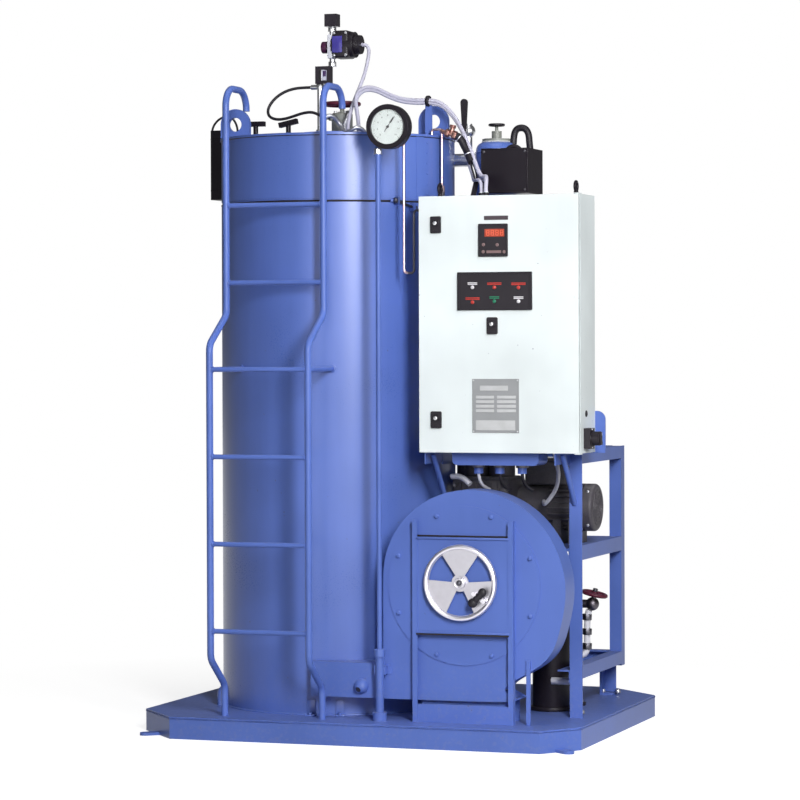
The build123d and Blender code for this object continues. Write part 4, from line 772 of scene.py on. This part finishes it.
# Damper
# A plate that slides between two angle guides in front of the fan inlet, and on it a
# three-port steel disc turned by a small wing.
shutter_bright = metal("shutter_rim", (0.80, 0.78, 0.84), 0.40, (30.0, 30.0, 30.0), age=0.10)
coat_nodes(fan_enamel, "damper_guides", "damper_plate")
shutter_steel = metal("shutter_steel", (0.56, 0.55, 0.60), 0.40, (6.0, 60.0, 6.0), (0.34, 0.30, 0.34))
coat_nodes(shutter_steel, "damper_disc")
black_enamel = enamel("black_enamel", (0.010, 0.007, 0.012), dust=0.05, roughness=0.34, gloss=0.22)
coat_nodes(shutter_bright, "damper_wing")
coat_nodes(black_enamel, "burner_control_box", "ignition_box", "cabinet_eyes", "cover_clamps")
disc_z = 0.557
disc_rim = [
    ring_piece((fan_x, -0.5690, disc_z), (0, 1, 0), 0.1215, 0.0082, 120),
    ring_piece((fan_x, -0.5790, disc_z), (0, 1, 0), 0.0150, 0.0024, 40),
]
settle(disc_rim, "disc_rim", shutter_bright, "damper_shutter")
hub_spot = [((fan_x, -0.579, disc_z), forward)]
screws("hub_screw", (0.013, 0.006, 0.010), hub_spot, dark_steel, "damper_shutter")


def way_at(degrees):
    """A unit way in the upright plane that faces forwards."""
    return Vector((math.cos(math.radians(degrees)), 0, math.sin(math.radians(degrees))))


knob_middle = Vector((fan_x, -0.590, disc_z)) + way_at(-35) * 0.084
knob_way = way_at(46)
wing_lobes = [bar(knob_middle - knob_way * 0.030, knob_middle + knob_way * 0.030, 0.0095, 32, 0.003)]
for step, width in ((-0.024, 0.0165), (-0.006, 0.0120), (0.010, 0.0125), (0.026, 0.0150)):
    wing_lobes.append(ball(knob_middle + knob_way * step, width, (1, 0.7, 1)))
settle(wing_lobes, "wing_knob", black_jacket, "damper_shutter")
damper_strips = [slab((0.398, -0.5530, z), (0.332, 0.004, 0.007)) for z in (0.7065, 0.3850)]
settle(damper_strips, "damper_lips", fan_enamel)
# Thin black strips along the top and bottom edges of the damper plate are painted shadow under its edges.
damper_edge_shadows = [
    slab((0.398, -0.5298, 0.7125), (0.342, 0.0016, 0.006), 0.0, 0.0004, 1),
    slab((0.398, -0.5530, 0.3785), (0.330, 0.0040, 0.006), 0.0, 0.0004, 1),
]
settle(damper_edge_shadows, "damper_edge_shadows", black_jacket)


# Support frame
# Angle iron, cut square and welded, bolted down at its feet; the middle shelf
# carries the feed pump.
frame_enamel = enamel("frame_enamel", [c * 0.96 for c in blue], dust=0.45, roughness=0.4, cloud=4.0)
coat_nodes(
    frame_enamel, "frame_posts", "frame_cross_rails", "frame_side_rails", "motor_shelf",
    "cabinet_brackets", "gland_tray", "separator_stand", "gauge_stand",
)
foot_spots = [((x, 0.435, 0.085), up) for x in (0.618, 0.675)]
foot_spots += [((0.722, y, 0.085), up) for y in (-0.250, -0.215)]
screws("foot_bolts", (0.017, 0.009, 0.012), foot_spots, zinc)
gusset = slab((0.6390, 0.4485, 0.1395), (0.0520, 0.0050, 0.1080))
settle(gusset, "rear_gusset", frame_enamel)


# Feed pump and its motor
# A cast dark grey pump with a ribbed crankcase and two air vessels stands on the shelf;
# its motor, and the fan's, have a wire grille over the cooling fan.
motor_z = 0.788


def wire_grille(middle, axis, radii, facets, wire, spokes, inner, outer):
    """Concentric wires crossed by spokes, in a plane across the X or the Y axis."""
    parts = [ring_piece(middle, axis, radius, wire, facets) for radius in radii]
    for step in range(spokes):
        angle = 2 * math.pi * step / spokes
        across, high = math.cos(angle), math.sin(angle)
        way = Vector((0, across, high)) if axis[0] else Vector((across, 0, high))
        parts.append(bar(Vector(middle) + way * inner, Vector(middle) + way * outer, wire, 10))
    return parts


cowl_radii = (0.018, 0.032, 0.046, 0.060)
grille = wire_grille((0.7225, 0.0, motor_z), (1, 0, 0), cowl_radii, 48, 0.0022, 6, 0.012, 0.064)
settle(grille, "cowl_grille", motor_casting)
cowl_spots = []
for degrees in (45, 135, 225, 315):
    way = Vector((0, math.cos(math.radians(degrees)), math.sin(math.radians(degrees))))
    cowl_spots.append((Vector((0.702, 0, motor_z)) + way * 0.0838, way))
screws("cowl_screws", (0.008, 0.004, 0.006), cowl_spots, zinc)

pump_x = 0.340
pump_y = -0.075
# The crankcase is built large to fill the dark space under the cabinet: a real pump body, and in part
# painted shade.
crankcase = [
    slab((pump_x, pump_y, 0.780), (0.210, 0.200, 0.236), 0.0, 0.016, 4),
    slab((pump_x, pump_y, 0.672), (0.240, 0.226, 0.022), 0.0, 0.004),
    bar((0.300, pump_y, 0.890), (0.300, pump_y, 0.945), 0.046, 40, 0.010),
    bar((0.392, pump_y, 0.890), (0.392, pump_y, 0.945), 0.046, 40, 0.010),
    bar((0.260, 0.020, 0.880), (0.205, 0.130, 0.880), 0.026, 32, 0.002),
    bar((0.205, 0.140, 0.640), (0.205, 0.140, 0.962), 0.050, 48, 0.016),
    slab((0.548, -0.004, 0.912), (0.150, 0.130, 0.086), 0.0, 0.006, 3),
    slab((0.548, -0.004, 0.957), (0.158, 0.138, 0.008), 0.0, 0.003, 2),
    bar((0.258, -0.180, 0.790), (0.258, -0.150, 0.790), 0.046, 40, 0.004),
]
for step in range(6):
    crankcase.append(slab((0.270 + 0.028 * step, -0.176, 0.790), (0.006, 0.012, 0.180), 0.0, 0.0015))
settle(crankcase, "pump_crankcase_and_shade", motor_casting)
case_spots = [((x, -0.175, z), forward) for x in (0.249, 0.431) for z in (0.690, 0.870)]
screws("crankcase_bolts", (0.013, 0.008, 0.009), case_spots, dark_steel)
cover_radii = (0.030, 0.052, 0.074, 0.096)
fan_grille = wire_grille((fan_x, -0.158, fan_z), (0, 1, 0), cover_radii, 56, 0.0020, 8, 0.020, 0.100)
settle(fan_grille, "motor_grille", motor_casting)


def facing_slab(place, size, degrees, edge=0.0, segments=1):
    """A plate in the upright plane that faces forwards, turned there about its middle."""
    piece = slab((0, 0, 0), size, 0.0, edge, segments)
    turned = Matrix.Rotation(-math.radians(degrees), 4, "Y")
    piece.matrix_world = Matrix.Translation(place) @ turned
    bpy.context.view_layer.update()
    return piece


rib_middle = Vector((fan_x, -0.287, fan_z))
rib_size = (0.010, 0.170, 0.003)
cooling_ribs = [
    facing_slab(rib_middle + way_at(18 * step) * 0.106, rib_size, 18 * step, 0.0006) for step in range(20)
]
settle(cooling_ribs, "motor_ribs", motor_casting)


# Steam separator
# A closed steel bottle with welded ends on an angle-iron stand; the outlet
# flange faces back.
coat_nodes(drum_enamel, "steam_separator")
bottle_beads = [
    ring_piece((0.320, 0.100, height), up, 0.0752, 0.0028, 72, 0.0005) for height in (1.125, 2.055)
]
settle(bottle_beads, "bottle_welds", drum_enamel, angle=60)
pale_gasket = moulded("pale_gasket", (0.62, 0.63, 0.62), 0.7)
gasket = bar((0.320, 0.100, 2.0915), (0.320, 0.100, 2.0955), 0.0535, 48, 0.0008)
settle(gasket, "top_gasket", pale_gasket)


# Valves and instruments
# Cast valve bodies with screwed bonnets and spoked wheels, a boxed pressure switch
# on a riser, and bright pipework.
bronze = casting("valve_bronze", (0.20, 0.21, 0.19), 0.48, 200.0, 0.2)
coat_nodes(bronze, "top_valve", "separator_valves")
bright_pipe = metal("bright_pipe", (0.70, 0.71, 0.74), 0.30)
coat_nodes(bright_pipe, "steam_line")
wheel_red = enamel("wheel_red", (0.095, 0.012, 0.030), dust=0.25, roughness=0.4, cloud=9.0)
coat_nodes(wheel_red, "top_handwheel", "inlet_handwheel")
wheel_black = moulded("wheel_black", (0.012, 0.009, 0.014), 0.42, worn=0.12)
coat_nodes(
    wheel_black, "separator_handwheel", "side_handwheel", "valve_lever", "pressure_switch",
    "isolator_switch", "door_locks", "controller_unit", "annunciator_panel",
)
copper = metal("drawn_copper", (0.66, 0.50, 0.52), 0.36, tarnish=(0.30, 0.16, 0.18), age=0.5)
coat_nodes(copper, "copper_lines")


def masked(finish, mask, tone):
    """Paint a bare metal over with a plain tone where mask(skin, place) is 1."""
    skin = Wire(finish.node_tree)
    shader = finish.node_tree.nodes["Principled BSDF"]
    painted = mask(skin, skin.node("ShaderNodeTexCoord", output="Object"))
    bare = Wire(skin.tree, shader.inputs["Base Color"].links[0].from_socket)
    skin.tree.links.new(skin.blend(painted, bare, (*tone, 1)).socket, shader.inputs["Base Color"])
    skin.tree.links.new((1 - painted).socket, shader.inputs["Metallic"])


def dark_second_leg(skin, place):
    """The second leg of the copper line, dark up to the band."""
    along, height = skin.part_of(place, "X"), skin.part_of(place, "Z")
    return skin.ramp(along, 0.158, 0.164) * (1 - skin.ramp(height, 1.90, 1.92))


masked(copper, dark_second_leg, (0.030, 0.028, 0.045))


# Riser and pressure switch
# A bright riser with a black yoke round its sight block, and above it a switch with a
# turned cap, a red adjusting knob and a pale upright mounting plate.
riser_finish = bright_pipe.copy()
riser_finish.name = "riser_finish"
coat_nodes(riser_finish, "instrument_riser")


def yoke_and_head(skin, place):
    """The yoke round the sight block and the head on top."""
    height = skin.part_of(place, "Z")
    yoke = skin.ramp(height, 2.3055, 2.3065) * (1 - skin.ramp(height, 2.3705, 2.3715))
    return skin.maths("MAXIMUM", yoke, skin.ramp(height, 2.5115, 2.5125))


masked(riser_finish, yoke_and_head, (0.018, 0.014, 0.022))
sight_block = slab((-0.2715, -0.0700, 2.3385), (0.0325, 0.006, 0.0385))
settle(sight_block, "sight_block", moulded("sight_white", (0.62, 0.64, 0.76), 0.4))
sight_mark = slab((-0.2760, -0.0735, 2.3440), (0.0120, 0.0020, 0.0200), 0.0, 0.0006)
settle(sight_mark, "sight_mark", moulded("mark_violet", (0.060, 0.030, 0.110), 0.35))
mount_plate = slab((-0.2450, -0.080, 2.4385), (0.0190, 0.046, 0.086), 0.0, 0.002)
settle(mount_plate, "switch_mount", moulded("mount_white", (0.66, 0.67, 0.74), 0.45))
knob_red = moulded("knob_maroon", (0.060, 0.010, 0.045), 0.40)
riser_y = -0.064
switch_knob = [
    bar((-0.2870, riser_y, 2.438), (-0.2620, riser_y, 2.438), 0.0215, 36, 0.003),
    bar((-0.2640, riser_y, 2.438), (-0.2500, riser_y, 2.438), 0.0120, 24, 0.001),
]
settle(switch_knob, "switch_knob", knob_red)
housing = slab((-0.2040, -0.068, 2.4450), (0.062, 0.082, 0.098), 0.0, 0.008, 3)
settle(housing, "switch_housing", wheel_black)
window = slab((-0.2140, -0.1100, 2.4440), (0.038, 0.0030, 0.060), 0.0, 0.0012)
window_blue = moulded("window_blue", (0.060, 0.050, 0.30), 0.16, worn=0.5)
settle(window, "switch_window", window_blue)
cap_rings = [
    ring_piece((x, riser_y, 2.444), (1, 0, 0), 0.0335, 0.0016, 48) for x in (-0.154, -0.149, -0.144)
]
cap_rings.append(ring_piece((-0.1605, riser_y, 2.444), (1, 0, 0), 0.0450, 0.0020, 56))
settle(cap_rings, "cap_rings", wheel_black)
window_spots = [((x, -0.1088, z), forward) for x in (-0.226, -0.182) for z in (2.405, 2.485)]
screws("housing_screws", (0.006, 0.003, 0.005), window_spots, zinc)
nut_places = ((-0.297, 2.126), (-0.297, 2.290), (-0.249, 2.370), (-0.249, 2.495))
nut_spots = [((x, riser_y, z), up) for x, z in nut_places]
screws("riser_nuts", (0.026, 0.014, 0.016), nut_spots, bright_pipe)
head_plug = bar((-0.249, -0.0775, 2.535), (-0.249, -0.0820, 2.535), 0.0105, 32, 0.001)
settle(head_plug, "head_plug", dark_steel)


# Top valve and the pipes round it
# A cast valve with a maroon spoked wheel, short silver hoses from the cover to the
# valve, and a copper tube that ends in brass unions at the right of the band.
brass = metal("brass", (0.42, 0.24, 0.20), 0.40, tarnish=(0.16, 0.04, 0.05), age=0.7)
hose_silver = metal("braided_steel", (0.60, 0.61, 0.66), 0.42, (90.0, 90.0, 90.0), age=0.3)


def piped(name, spots, radius, finish):
    """A tube that runs smoothly through a few places."""
    piece = route_curve(name, spots, radius, 4, 12)
    open_object(piece)
    bpy.ops.object.convert(target="MESH")
    settle(bpy.context.object, name, finish, angle=50)


piped("valve_hose", (
    (-0.238, -0.200, 2.104), (-0.238, -0.200, 2.165), (-0.208, -0.190, 2.190),
    (-0.186, -0.140, 2.150), (-0.150, -0.205, 2.112), (-0.090, -0.205, 2.150), (-0.082, -0.150, 2.104),
), 0.0075, hose_silver)
piped("sample_tube", (
    (-0.190, -0.110, 2.104), (-0.190, -0.112, 2.150), (-0.172, -0.106, 2.188), (-0.180, -0.090, 2.200),
), 0.0085, hose_silver)
piped("balance_hose", (
    (0.448, 0.100, 2.044), (0.443, 0.100, 2.085), (0.441, 0.100, 2.118), (0.430, 0.100, 2.138),
    (0.412, 0.100, 2.143), (0.394, 0.100, 2.138), (0.384, 0.100, 2.116), (0.383, 0.100, 2.084),
), 0.0125, black_jacket)
brass_parts = [
    bar((0.197, -0.170, 2.119), (0.262, -0.168, 2.098), 0.0085, 24, 0.001),
    bar((0.2160, -0.170, 2.1130), (0.2300, -0.170, 2.1085), 0.0150, 6, 0.0012),
    bar((0.2420, -0.169, 2.1045), (0.2570, -0.169, 2.0995), 0.0165, 6, 0.0012),
    bar((0.236, -0.169, 2.106), (0.243, -0.169, 2.132), 0.0085, 24, 0.001),
    bar((0.2418, -0.169, 2.1280), (0.2440, -0.169, 2.1390), 0.0125, 6, 0.0012),
]
settle(brass_parts, "brass_unions", brass)
piped("joint_hose", (
    (0.258, -0.168, 2.0995), (0.272, -0.168, 2.090), (0.284, -0.168, 2.066), (0.300, -0.172, 2.038),
    (0.318, -0.190, 2.004),
), 0.0140, black_jacket)
joint_bands = [
    ring_piece((0.2680, -0.168, 2.0910), (0.6, 0, -0.5), 0.0142, 0.0024, 32),
    ring_piece((0.3020, -0.174, 2.0330), (0.4, -0.2, -0.8), 0.0142, 0.0024, 32),
]
settle(joint_bands, "joint_bands", hose_silver)
for number, sideways in enumerate((0.0, 0.013, 0.026)):
    piped(f"thin_lead_{number + 1}", (
        (0.306 + sideways / 2, -0.182, 2.024), (0.322 + sideways, -0.200, 1.985),
        (0.340 + sideways / 2, -0.214, 1.944), (0.348 + sideways / 2, -0.262, 1.915),
        (0.352 + sideways / 2, -0.300, 1.876),
    ), 0.0032, black_jacket)
wheel_spot = [((-0.212, riser_y, 2.2405), up)]
screws("top_wheel_nut", (0.018, 0.009, 0.011), wheel_spot, zinc, "top_wheel")
valve_spots = circle_spots((-0.212, riser_y, 2.199), up, 0.027, 4, 45)
small_bolt = (0.010, 0.006, 0.0075)
screws("valve_bolts", small_bolt, valve_spots, zinc)


# Feed inlet valve
# A dark pipe with screwed unions and a maroon wheel; beside it a pale column and elbow
# with dark unions lead towards the filter pot.
coat_nodes(metal("inlet_pipe", (0.11, 0.10, 0.12), 0.42, age=0.4), "inlet_valve")
inlet_x, inlet_y = 0.612, 0.075
union_rings = [
    ring_piece((inlet_x, inlet_y, height), up, 0.0235, 0.0034, 36) for height in (0.300, 0.330, 0.360, 0.390)
]
union_rings.append(ring_piece((inlet_x, inlet_y, 0.110), up, 0.0165, 0.0030, 36))
settle(union_rings, "inlet_unions", dark_steel)
inlet_spots = circle_spots((inlet_x, inlet_y, 0.087), up, 0.031, 4, 45)
screws("inlet_bolts", small_bolt, inlet_spots, zinc)
pale_plastic = moulded("pale_plastic", (0.62, 0.62, 0.68), 0.4, worn=0.5)
piped("inlet_column", (
    (0.668, 0.075, 0.418), (0.661, 0.075, 0.400), (0.660, 0.075, 0.330), (0.660, 0.075, 0.285),
    (0.656, 0.072, 0.264), (0.640, 0.066, 0.256), (0.610, 0.050, 0.256), (0.590, 0.035, 0.252),
    (0.584, 0.022, 0.236), (0.582, 0.012, 0.216),
), 0.0120, pale_plastic)
column_unions = [
    bar((0.661, inlet_y, z), (0.660, inlet_y, z - 0.022), 0.0175, 8, 0.002) for z in (0.404, 0.352, 0.300)
]
settle(column_unions, "column_unions", dark_steel)
stem_way = Vector((0.2198, 0, 0.9755))
stem_spot = [(Vector((0.680, inlet_y, 0.440)) + stem_way * 0.0455, stem_way)]
screws("inlet_wheel_nut", (0.016, 0.009, 0.010), stem_spot, dark_steel, "inlet_wheel")


# Filter beside the fan
# A black pot with a bolted lid stands on the deck behind the fan casing, made wide to fill the
# dark space there, so its black is partly painted shade; a short pale pipe leads from it.
pot_x, pot_y = 0.575, -0.075
filter_pot_and_shade = [
    bar((pot_x, pot_y, 0.077), (pot_x, pot_y, 0.440), 0.070, 64, 0.004),
    bar((pot_x, pot_y, 0.435), (pot_x, pot_y, 0.455), 0.080, 64, 0.003),
    bar((pot_x, pot_y, 0.077), (pot_x, pot_y, 0.091), 0.080, 64, 0.003),
]
settle(filter_pot_and_shade, "filter_pot_and_shade", black_enamel)
pot_spots = circle_spots((pot_x, pot_y, 0.455), up, 0.066, 6, 30)
screws("pot_bolts", (0.010, 0.006, 0.0065), pot_spots, dark_steel)
pot_pipe = bar((0.592, -0.140, 0.186), (0.668, -0.140, 0.186), 0.0125, 32, 0.0010)
settle(pot_pipe, "pot_pipe", pale_plastic)


# Cables under the cabinet
# A pale elbow, short white and black leads below the nuts of the blue tray, and one
# grey hose that hangs from the tray towards the pump.
piped("tray_elbow", (
    (0.278, -0.300, 0.905), (0.300, -0.306, 0.908), (0.330, -0.314, 0.900), (0.352, -0.320, 0.880),
), 0.0100, pale_plastic)
piped("pump_hose", (
    (0.655, -0.310, 0.990), (0.652, -0.260, 0.940), (0.638, -0.205, 0.900), (0.627, -0.195, 0.862),
    (0.597, -0.180, 0.823), (0.568, -0.160, 0.800), (0.548, -0.085, 0.812),
), 0.0072, pale_plastic)
tray_places = (0.403, 0.479, 0.560)
tray_spots = [((x, -0.381, 0.9508), (0, 0, -1)) for x in tray_places]
screws("tray_nuts", (0.038, 0.008, 0.022), tray_spots, dark_steel)
for number, x in enumerate(tray_places):
    jacket, slot = (black_jacket, "black_plastic") if number else (pale_plastic, "white_paint")
    piped(f"tray_lead_{number + 1}", (
        (x, -0.381, 0.925), (x, -0.378, 0.900), (x + 0.006, -0.345, 0.872), (x + 0.010, -0.290, 0.862),
    ), 0.0058, jacket)


# Burner control box and ignition box
# Pressed black covers, each with a lip round its front edge and small corner screws.
box_lip = [slab((0.439, -0.1905, z), (0.168, 0.0020, 0.004)) for z in (2.0485, 1.8975)]
box_lip += [slab((x, -0.1905, 1.973), (0.004, 0.0020, 0.150)) for x in (0.3555, 0.5225)]
settle(box_lip, "box_lip", black_enamel)
box_spots = [((x, -0.1903, z), forward) for x in (0.364, 0.514) for z in (1.906, 2.040)]
screws("box_screws", (0.007, 0.003, 0.005), box_spots, dark_steel)
ignition_seams = [slab((-0.6945, 0.015, z), (0.0670, 0.1520, 0.0030)) for z in (2.118, 1.930)]
settle(ignition_seams, "ignition_seams", black_enamel)


# Control cabinet
# Folded sheet steel with a powder coat, one door on two pins at the right, quarter-turn
# locks, a controller with a red display and an annunciator with six lamps.
powder_white = enamel("powder_white", (0.79, 0.855, 0.865), dust=0.04, roughness=0.42, peel=0.10, streak=0.1)
coat_nodes(powder_white, "cabinet_body", "cabinet_door", "door_hinges")
# Thin black strips round the door's edge are painted shade in the gap between door and cabinet.
door_gap_strips = [slab((0.5005, -0.4674, z), (0.540, 0.0012, 0.008)) for z in (1.0015, 1.8675)]
door_gap_strips += [slab((x, -0.4674, 1.4345), (0.008, 0.0012, 0.860)) for x in (0.2300, 0.7700)]
settle(door_gap_strips, "door_gap_shade", black_jacket, "door")
lock_spots = ((0.286, 1.775), (0.286, 1.108), (0.488, 1.429))
barrels = [bar((x, -0.5020, z + 0.006), (x, -0.5032, z + 0.006), 0.0068, 32, 0.0004) for x, z in lock_spots]
settle(barrels, "lock_barrels", bright_pipe, "door")
# Small dark bars on the lock barrels are painted shade of the key slots.
lock_slot_shades = [slab((x, -0.5033, z + 0.006), (0.0016, 0.0008, 0.0080), 0.0, 0.0) for x, z in lock_spots]
settle(lock_slot_shades, "lock_slot_shades", dark_steel, "door")
lock_rims = [ring_piece((x, -0.4945, z + 0.006), (0, 1, 0), 0.0120, 0.0014, 36) for x, z in lock_spots]
lock_rims += [slab((x, -0.4945, z - 0.019), (0.020, 0.0016, 0.003)) for x, z in lock_spots]
settle(lock_rims, "lock_rims", wheel_black, "door")


def frame_of(place, size, width, proud):
    """A flat rectangular rim facing forwards, made of four strips."""
    x, y, z = place
    across, high = size
    level, upright = (across, proud, width), (width, proud, high - 2 * width)
    over, beside = (high - width) / 2, (across - width) / 2
    strips = [slab((x, y, z + side * over), level, 0.0, 0.0006, 1) for side in (1, -1)]
    return strips + [slab((x + side * beside, y, z), upright, 0.0, 0.0006, 1) for side in (-1, 1)]


panel_rims = frame_of((0.492, -0.4955, 1.720), (0.102, 0.110), 0.005, 0.003)
panel_rims += frame_of((0.497, -0.4955, 1.547), (0.264, 0.128), 0.006, 0.003)
settle(panel_rims, "panel_rims", wheel_black, "door")
display_red = moulded("display_red", (0.42, 0.060, 0.030), 0.25, worn=0.5)
lamp_red = moulded("lamp_red", (0.52, 0.045, 0.035), 0.25, worn=0.3)
lamp_green = moulded("lamp_green", (0.025, 0.20, 0.11), 0.25, worn=0.3)
lamp_white = moulded("lamp_white", (0.72, 0.70, 0.74), 0.25, worn=0.2)
print_grey = moulded("print_grey", (0.22, 0.14, 0.14), 0.5)
display = slab((0.498, -0.4948, 1.745), (0.070, 0.0016, 0.026), 0.0, 0.0005, 1)
settle(display, "controller_display", display_red, "door")
digit_parts = []
for place in range(4):
    left = 0.470 + 0.0165 * place
    strokes = [(0.0045, z, 0.0085, 0.0018) for z in (0.0085, 0.0, -0.0085)]
    strokes += [(x, z, 0.0018, 0.0075) for z in (0.0043, -0.0043) for x in (0.0, 0.009)]
    for x, z, across, high in strokes:
        digit_parts.append(slab((left + x, -0.4958, 1.745 + z), (across, 0.0005, high), 0.0, 0.0))
digit_glow = moulded("digit_glow", (0.80, 0.13, 0.06), 0.3)
settle(digit_parts, "display_digits", digit_glow, "door")
button_spots = ((0.459, 1.705), (0.508, 1.704), (0.458, 1.681), (0.533, 1.680))
buttons = [bar((x, -0.4940, z), (x, -0.4968, z), 0.0056, 28, 0.0008) for x, z in button_spots]
buttons.append(slab((0.4955, -0.4946, 1.6805), (0.052, 0.0014, 0.009), 0.0, 0.0004, 1))
settle(buttons, "controller_buttons", print_grey, "door")
lamp_drop = 0.0088
lamp_rows = (
    (lamp_white, "white_lamps", "white_paint", 0.034, ((0.419, 1.569), (0.583, 1.520))),
    (lamp_red, "red_lamps", "red_paint", 0.050, ((0.497, 1.568), (0.583, 1.567), (0.419, 1.518))),
    (lamp_green, "green_lamp", "black_plastic", 0.034, ((0.497, 1.521),)),
)
for finish, name, slot, wide, spots in lamp_rows:
    lamps = []
    for x, z in spots:
        for row in (0.0062, 0.0014):
            lamps.append(slab((x, -0.4946, z + row), (wide, 0.0014, 0.0032), 0.0, 0.0003, 1))
        lamps.append(ball((x, -0.4945, z - lamp_drop), 0.0064, (1, 0.55, 1), 28))
    settle(lamps, name, finish, "door")
lamp_collars = [
    ring_piece((x, -0.4944, z - lamp_drop), (0, 1, 0), 0.0072, 0.0010, 32)
    for *_, spots in lamp_rows for x, z in spots
]
settle(lamp_collars, "lamp_collars", wheel_black, "door")
plate_silver = metal("plate_silver", (0.50, 0.51, 0.52), 0.40, (4.0, 4.0, 60.0), age=0.15)
plate_grey = moulded("plate_grey", (0.30, 0.31, 0.32), 0.5, worn=0.2)
plate_x = 0.4985
blank_plate = frame_of((plate_x, -0.4888, 1.1560), (0.167, 0.184), 0.0026, 0.0022)
blank_plate.append(slab((plate_x, -0.4884, 1.1560), (0.164, 0.0010, 0.181), 0.0, 0.0))
settle(blank_plate, "blank_plate", plate_grey, "door")
fields = [(0.493, 1.2165, 0.100, 0.017)]
for row in range(4):
    fields += [(x, 1.186 - 0.0155 * row, across, 0.0100) for x, across in ((0.461, 0.064), (0.5375, 0.067))]
fields.append((plate_x, 1.090, 0.140, 0.034))
plate_fields = [
    slab((x, -0.4893, z), (across, 0.0010, high), 0.0, 0.0003, 1) for x, z, across, high in fields
]
settle(plate_fields, "plate_fields", plate_silver, "door")
plate_spots = [((x, -0.4899, z), forward) for x in (0.4200, 0.5770) for z in (1.0690, 1.2430)]
screws("plate_rivets", (0.004, 0.0015, 0.0028), plate_spots, zinc, "door")
tag = slab((0.502, -0.4886, 1.796), (0.086, 0.0012, 0.014), 0.0, 0.0004, 1)
settle(tag, "blank_tag", moulded("tag_dark", (0.060, 0.045, 0.055), 0.4), "door")
grommet = ring_piece((0.7935, -0.400, 1.129), (1, 0, 0), 0.0090, 0.0026, 36)
plug_face = bar((0.7925, -0.400, 1.129), (0.7940, -0.400, 1.129), 0.0085, 28)
settle([grommet, plug_face], "side_grommet", black_jacket)


def lettering(words, size, place, facing_right=False):
    """Raised letters facing forwards or to the right, as a mesh."""
    bpy.ops.object.text_add()
    piece = bpy.context.object
    piece.data.body = words
    piece.data.size = size
    piece.data.align_x = "CENTER"
    piece.data.align_y = "CENTER"
    piece.data.extrude = 0.0002
    piece.data.resolution_u = 4
    open_object(piece)
    bpy.ops.object.convert(target="MESH")
    piece = bpy.context.object
    facing = Matrix.Rotation(math.pi / 2, 4, "X")
    if facing_right:
        facing = Matrix.Rotation(math.pi / 2, 4, "Z") @ facing
    piece.matrix_world = Matrix.Translation(place) @ facing
    bpy.context.view_layer.update()
    return piece


switch_words = [
    lettering("ON", 0.0085, (0.8152, -0.400, 1.0752), True),
    lettering("OFF", 0.0085, (0.8152, -0.400, 1.0148), True),
]
settle(switch_words, "switch_words", lamp_white)
knob_grip = slab((0.8450, -0.400, 1.045), (0.0090, 0.0110, 0.0440), 0.0, 0.0020, 3)
knob_ring = ring_piece((0.8165, -0.400, 1.045), (1, 0, 0), 0.0262, 0.0022, 48)
settle([knob_grip, knob_ring], "isolator_grip", wheel_black)
grip_mark = slab((0.8497, -0.400, 1.060), (0.0006, 0.0022, 0.0100), 0.0, 0.0)
settle(grip_mark, "grip_mark", lamp_white)


# Pressure gauge
# A black pressed case with a white dial, black figures and a slim black pointer under
# flat glass.
coat_nodes(black_enamel, "pressure_gauge")
gauge_x, gauge_z = 0.144, 2.109
dial_middle = Vector((gauge_x, -0.5752, gauge_z))


def before_dial(out):
    """The middle of the dial, this far in front of its back."""
    return dial_middle + Vector((0, -out, 0))


dial = bar(dial_middle, before_dial(0.0012), 0.0597, 96)
settle(dial, "gauge_dial", moulded("dial_white", (0.74, 0.80, 0.79), 0.6, worn=0.08))
dial_marks = []
for step in range(41):
    angle = 225 - 6.75 * step
    length, wide = (0.0070, 0.0010) if step % 5 == 0 else (0.0035, 0.0005)
    spot = before_dial(0.0013) + way_at(angle) * (0.0555 - length / 2)
    dial_marks.append(facing_slab(spot, (length, 0.0004, wide), angle))
for step in range(9):
    spot = before_dial(0.0013) + way_at(225 - 33.75 * step) * 0.0385
    dial_marks.append(lettering(str(2 * step), 0.0085, spot))
settle(dial_marks, "dial_marks", black_jacket)
needle_angle = 55
needle = [
    facing_slab(before_dial(0.0046) + way_at(needle_angle) * 0.010, (0.062, 0.0006, 0.0018), needle_angle),
    facing_slab(
        before_dial(0.0046) + way_at(needle_angle) * 0.026, (0.022, 0.0007, 0.0056), needle_angle, 0.0002
    ),
    bar(before_dial(0.0010), before_dial(0.0062), 0.0048, 32, 0.0006),
]
settle(needle, "gauge_needle", wheel_black)
gauge_rims = [
    ring_piece((gauge_x, -0.5846, gauge_z), (0, 1, 0), 0.0612, 0.0016, 96),
    ring_piece((gauge_x, -0.5830, gauge_z), (0, 1, 0), 0.0745, 0.0022, 96),
]
settle(gauge_rims, "gauge_rims", black_enamel)
gauge_glass = bar((gauge_x, -0.5822, gauge_z), (gauge_x, -0.5834, gauge_z), 0.0600, 96)
glass, pane, glass_shader, glass_place = open_finish("gauge_glass")
glass_shader.inputs["Base Color"].default_value = (0.9, 0.95, 0.95, 1)
smears = pane.noise(glass_place, 40.0, 3.0)
pane.tree.links.new((smears * 0.08 + 0.03).socket, glass_shader.inputs["Roughness"])
pane.tree.links.new((smears * 0.05 + 0.03).socket, glass_shader.inputs["Alpha"])
settle(gauge_glass, "gauge_glass", glass)
stand_x, stand_y = 0.102, -0.560
nut_spot = [((stand_x, stand_y, 2.018), up)]
screws("gauge_nut", (0.026, 0.016, 0.0165), nut_spot, bright_pipe)
coupling_spot = [((stand_x, stand_y, 0.296), up)]
screws("stand_coupling", (0.034, 0.024, 0.0185), coupling_spot, frame_enamel)
